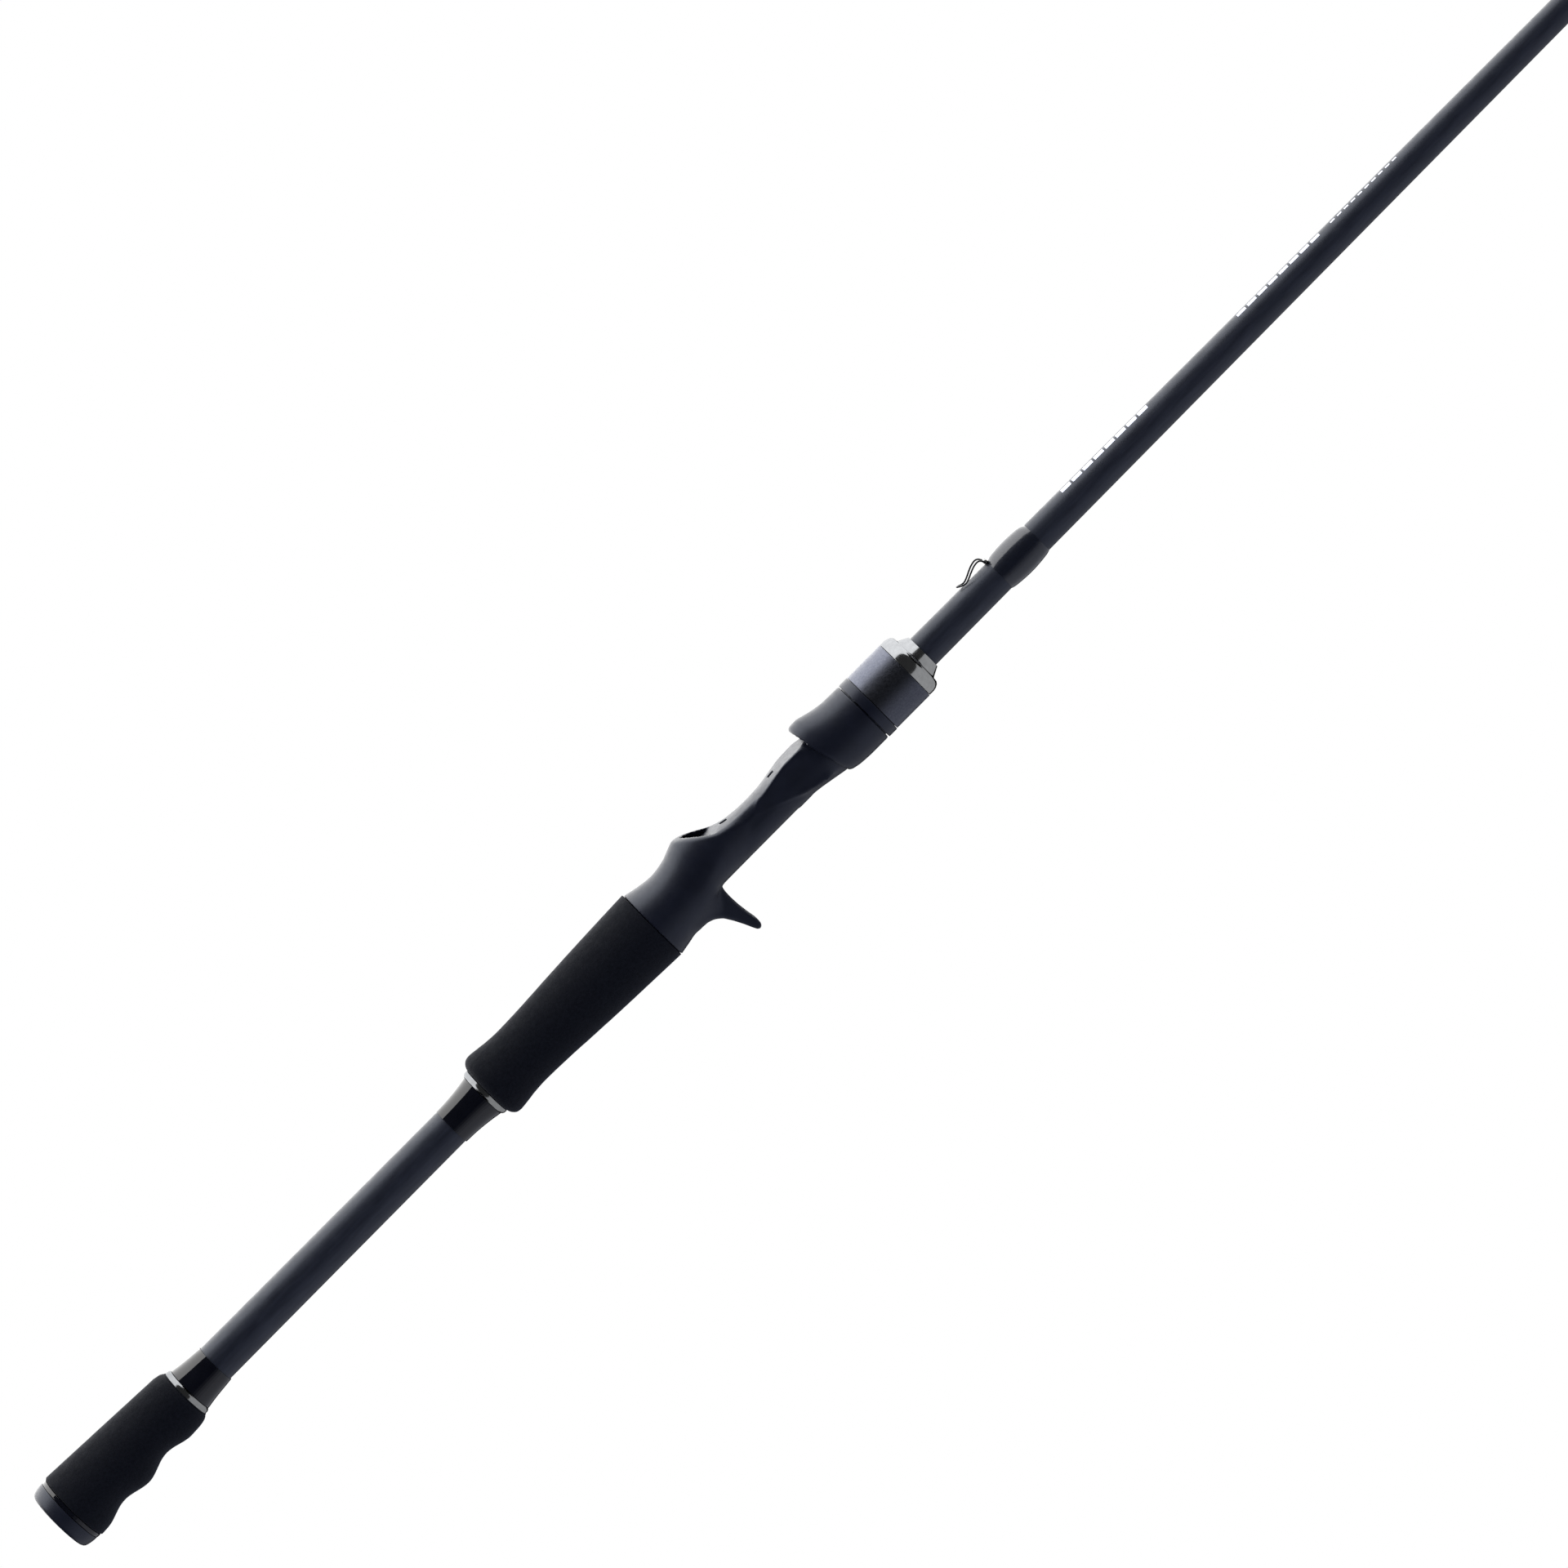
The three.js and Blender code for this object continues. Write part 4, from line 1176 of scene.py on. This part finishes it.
away = Vector((0, math.cos(TILT), -math.sin(TILT)))
across_rod = Vector((0, math.sin(TILT), math.cos(TILT)))
along_rod = Vector((1, 0, 0))
up = math.sin(ROLL) * along_rod + math.cos(ROLL) * across_rod
right = math.cos(ROLL) * along_rod - math.sin(ROLL) * across_rod
target = TARGET_X * along_rod + TARGET_RISE * across_rod

camera_data = bpy.data.cameras.new("camera")
camera_data.sensor_width = 36
camera_data.lens = 36 * CAMERA_DISTANCE / (2 * HALF_WIDTH)
camera_data.clip_start = 0.05
camera_data.clip_end = 200
camera = placed("camera", camera_data)
facing = Matrix((right, up, -away)).transposed().to_4x4()
camera.matrix_world = Matrix.Translation(target - CAMERA_DISTANCE * away) @ facing
bpy.context.scene.camera = camera

LIGHT_DISTANCE = 1.6  # from the rod to the middle of each panel beside it


def area_light(name, length, width, radiance):
    """A rectangle that the camera can't see, equally bright all over."""
    data = bpy.data.lights.new(name, "AREA")
    data.shape = "RECTANGLE"
    data.size = length
    data.size_y = width
    data.energy = radiance * math.pi * length * width
    light = placed(name, data)
    light.visible_camera = False
    return light


def light_panel(name, angle, width, length, radiance, colour):
    """A long soft panel round the rod's axis, at an angle from the camera's side towards the
    top, that shines at the rod evenly along its length."""
    direction = math.cos(angle) * -away + math.sin(angle) * across_rod
    light = area_light(name, length, width, radiance)
    light.data.color = colour
    turn = Matrix((along_rod, direction.cross(along_rod), direction)).transposed()
    place = TARGET_X * along_rod + LIGHT_DISTANCE * direction
    light.matrix_world = Matrix.Translation(place) @ turn.to_4x4()
    return light


def panels(name, first, last, count, radiance, colour, length=4.0):
    """Panels side by side, over an arc round the rod."""
    step = math.radians(last - first) / count
    width = 2 * LIGHT_DISTANCE * math.tan(step / 2)
    angles = [math.radians(first) + step * (i + 0.5) for i in range(count)]
    return [
        light_panel(f"{name}_{i}", angle, width, length, radiance, colour)
        for i, angle in enumerate(angles)
    ]


def linked(lights, pieces, state):
    """The lights shine on these pieces only, or, with EXCLUDE, on everything but them."""
    group = bpy.data.collections.new(f"{lights[0].name}_{state}")
    for piece in pieces:
        group.objects.link(piece)
    for entry in group.collection_objects:
        entry.light_linking.link_state = state
    for light in lights:
        light.light_linking.receiver_collection = group


WARM = (1.0, 0.995, 0.985)
NEUTRAL = (0.98, 0.99, 1.01)
COOL = (0.95, 0.97, 1.06)
# Bright metal mirrors the lights themselves, so it has lights of its own, which are dimmer.
MIRRORS = [
    piece
    for piece in bpy.context.scene.objects
    if piece.type == "MESH"
    and {FINISHES["polished"], FINISHES["check"]}.intersection(piece.data.materials)
]
linked(panels("upper_light", 65, 172, 4, 3.0, WARM), MIRRORS, "EXCLUDE")
for name, first, last, count, radiance, pieces in (
    ("metal_upper_light", 52, 172, 4, 0.93, MIRRORS),
    ("metal_middle_light", -24, 52, 3, 0.024, MIRRORS + [nut_sleeve]),
    ("metal_lower_light", -150, -24, 4, 0.32, MIRRORS),
):
    linked(panels(name, first, last, count, radiance, NEUTRAL, 9.0), pieces, "INCLUDE")
# Below the rod the light grows softly from the front to the back.
for first, last, count, radiance in (
    (-34, -22, 1, 0.07),
    (-46, -34, 1, 0.22),
    (-60, -46, 1, 0.36),
    (-150, -60, 3, 0.46),
):
    lights = panels(f"lower_light{first}", first, last, count, radiance, COOL)
    linked(lights, MIRRORS, "EXCLUDE")

# A panel across the rod's axis, beyond the tip, faces the butt.
tip_light = area_light("tip_light", 3.0, 3.0, 0.6)
tip_light.location = (3.2, 0.6, 0.3)
tip_light.rotation_euler = (0, math.radians(90), 0)
linked([tip_light], MIRRORS, "EXCLUDE")

world = bpy.data.worlds.new("world")
world.use_nodes = True
background = world.node_tree.nodes["Background"]
background.inputs["Color"].default_value = (0.80, 0.88, 1.25, 1)
background.inputs["Strength"].default_value = 0.75
bpy.context.scene.world = world
world.cycles_visibility.glossy = False
bpy.context.scene.view_settings.view_transform = "Standard"


def pale_material():
    """Evenly lit white paper. It can't be seen from behind."""
    material = bpy.data.materials.new("pale")
    material.use_nodes = True
    nodes, links = material.node_tree.nodes, material.node_tree.links
    nodes.clear()
    paper = nodes.new("ShaderNodeEmission")
    paper.inputs["Color"].default_value = (1, 1, 1, 1)
    paper.inputs["Strength"].default_value = 1.0
    nothing = nodes.new("ShaderNodeBsdfTransparent")
    mix = nodes.new("ShaderNodeMixShader")
    links.new(nodes.new("ShaderNodeNewGeometry").outputs["Backfacing"], mix.inputs[0])
    links.new(paper.outputs[0], mix.inputs[1])
    links.new(nothing.outputs[0], mix.inputs[2])
    links.new(mix.outputs[0], nodes.new("ShaderNodeOutputMaterial").inputs["Surface"])
    return material


def stage_piece(name, vertices, faces):
    piece = add_object(name, np.array(vertices) / MM, faces)
    piece.data.materials.append(PALE)
    piece.visible_diffuse = False
    piece.visible_glossy = False
    piece.visible_transmission = False
    piece.visible_shadow = False
    return piece


PALE = pale_material()
FLOOR_RADIUS = 30
FLOOR_SIDES = 64
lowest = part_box("reel_seat")[0].z
turns = [2 * math.pi * k / FLOOR_SIDES for k in range(FLOOR_SIDES)]
floor_points = [(FLOOR_RADIUS * math.cos(a), FLOOR_RADIUS * math.sin(a), lowest) for a in turns]
stage_piece("floor", floor_points, [list(range(FLOOR_SIDES))])


def dome():
    """A big pale dome, seen from inside."""
    steps, sides = 24, 48
    vertices, rings = [], []
    for i in range(steps + 1):
        tilt = math.pi * (i / steps - 0.5)
        radius, height = FLOOR_RADIUS * math.cos(tilt), FLOOR_RADIUS * math.sin(tilt)
        rings.append(range(len(vertices), len(vertices) + sides))
        for k in range(sides):
            a = 2 * math.pi * k / sides
            vertices.append((radius * math.cos(a), radius * math.sin(a), height))
    return stage_piece("dome", vertices, faces_between(rings))


dome()
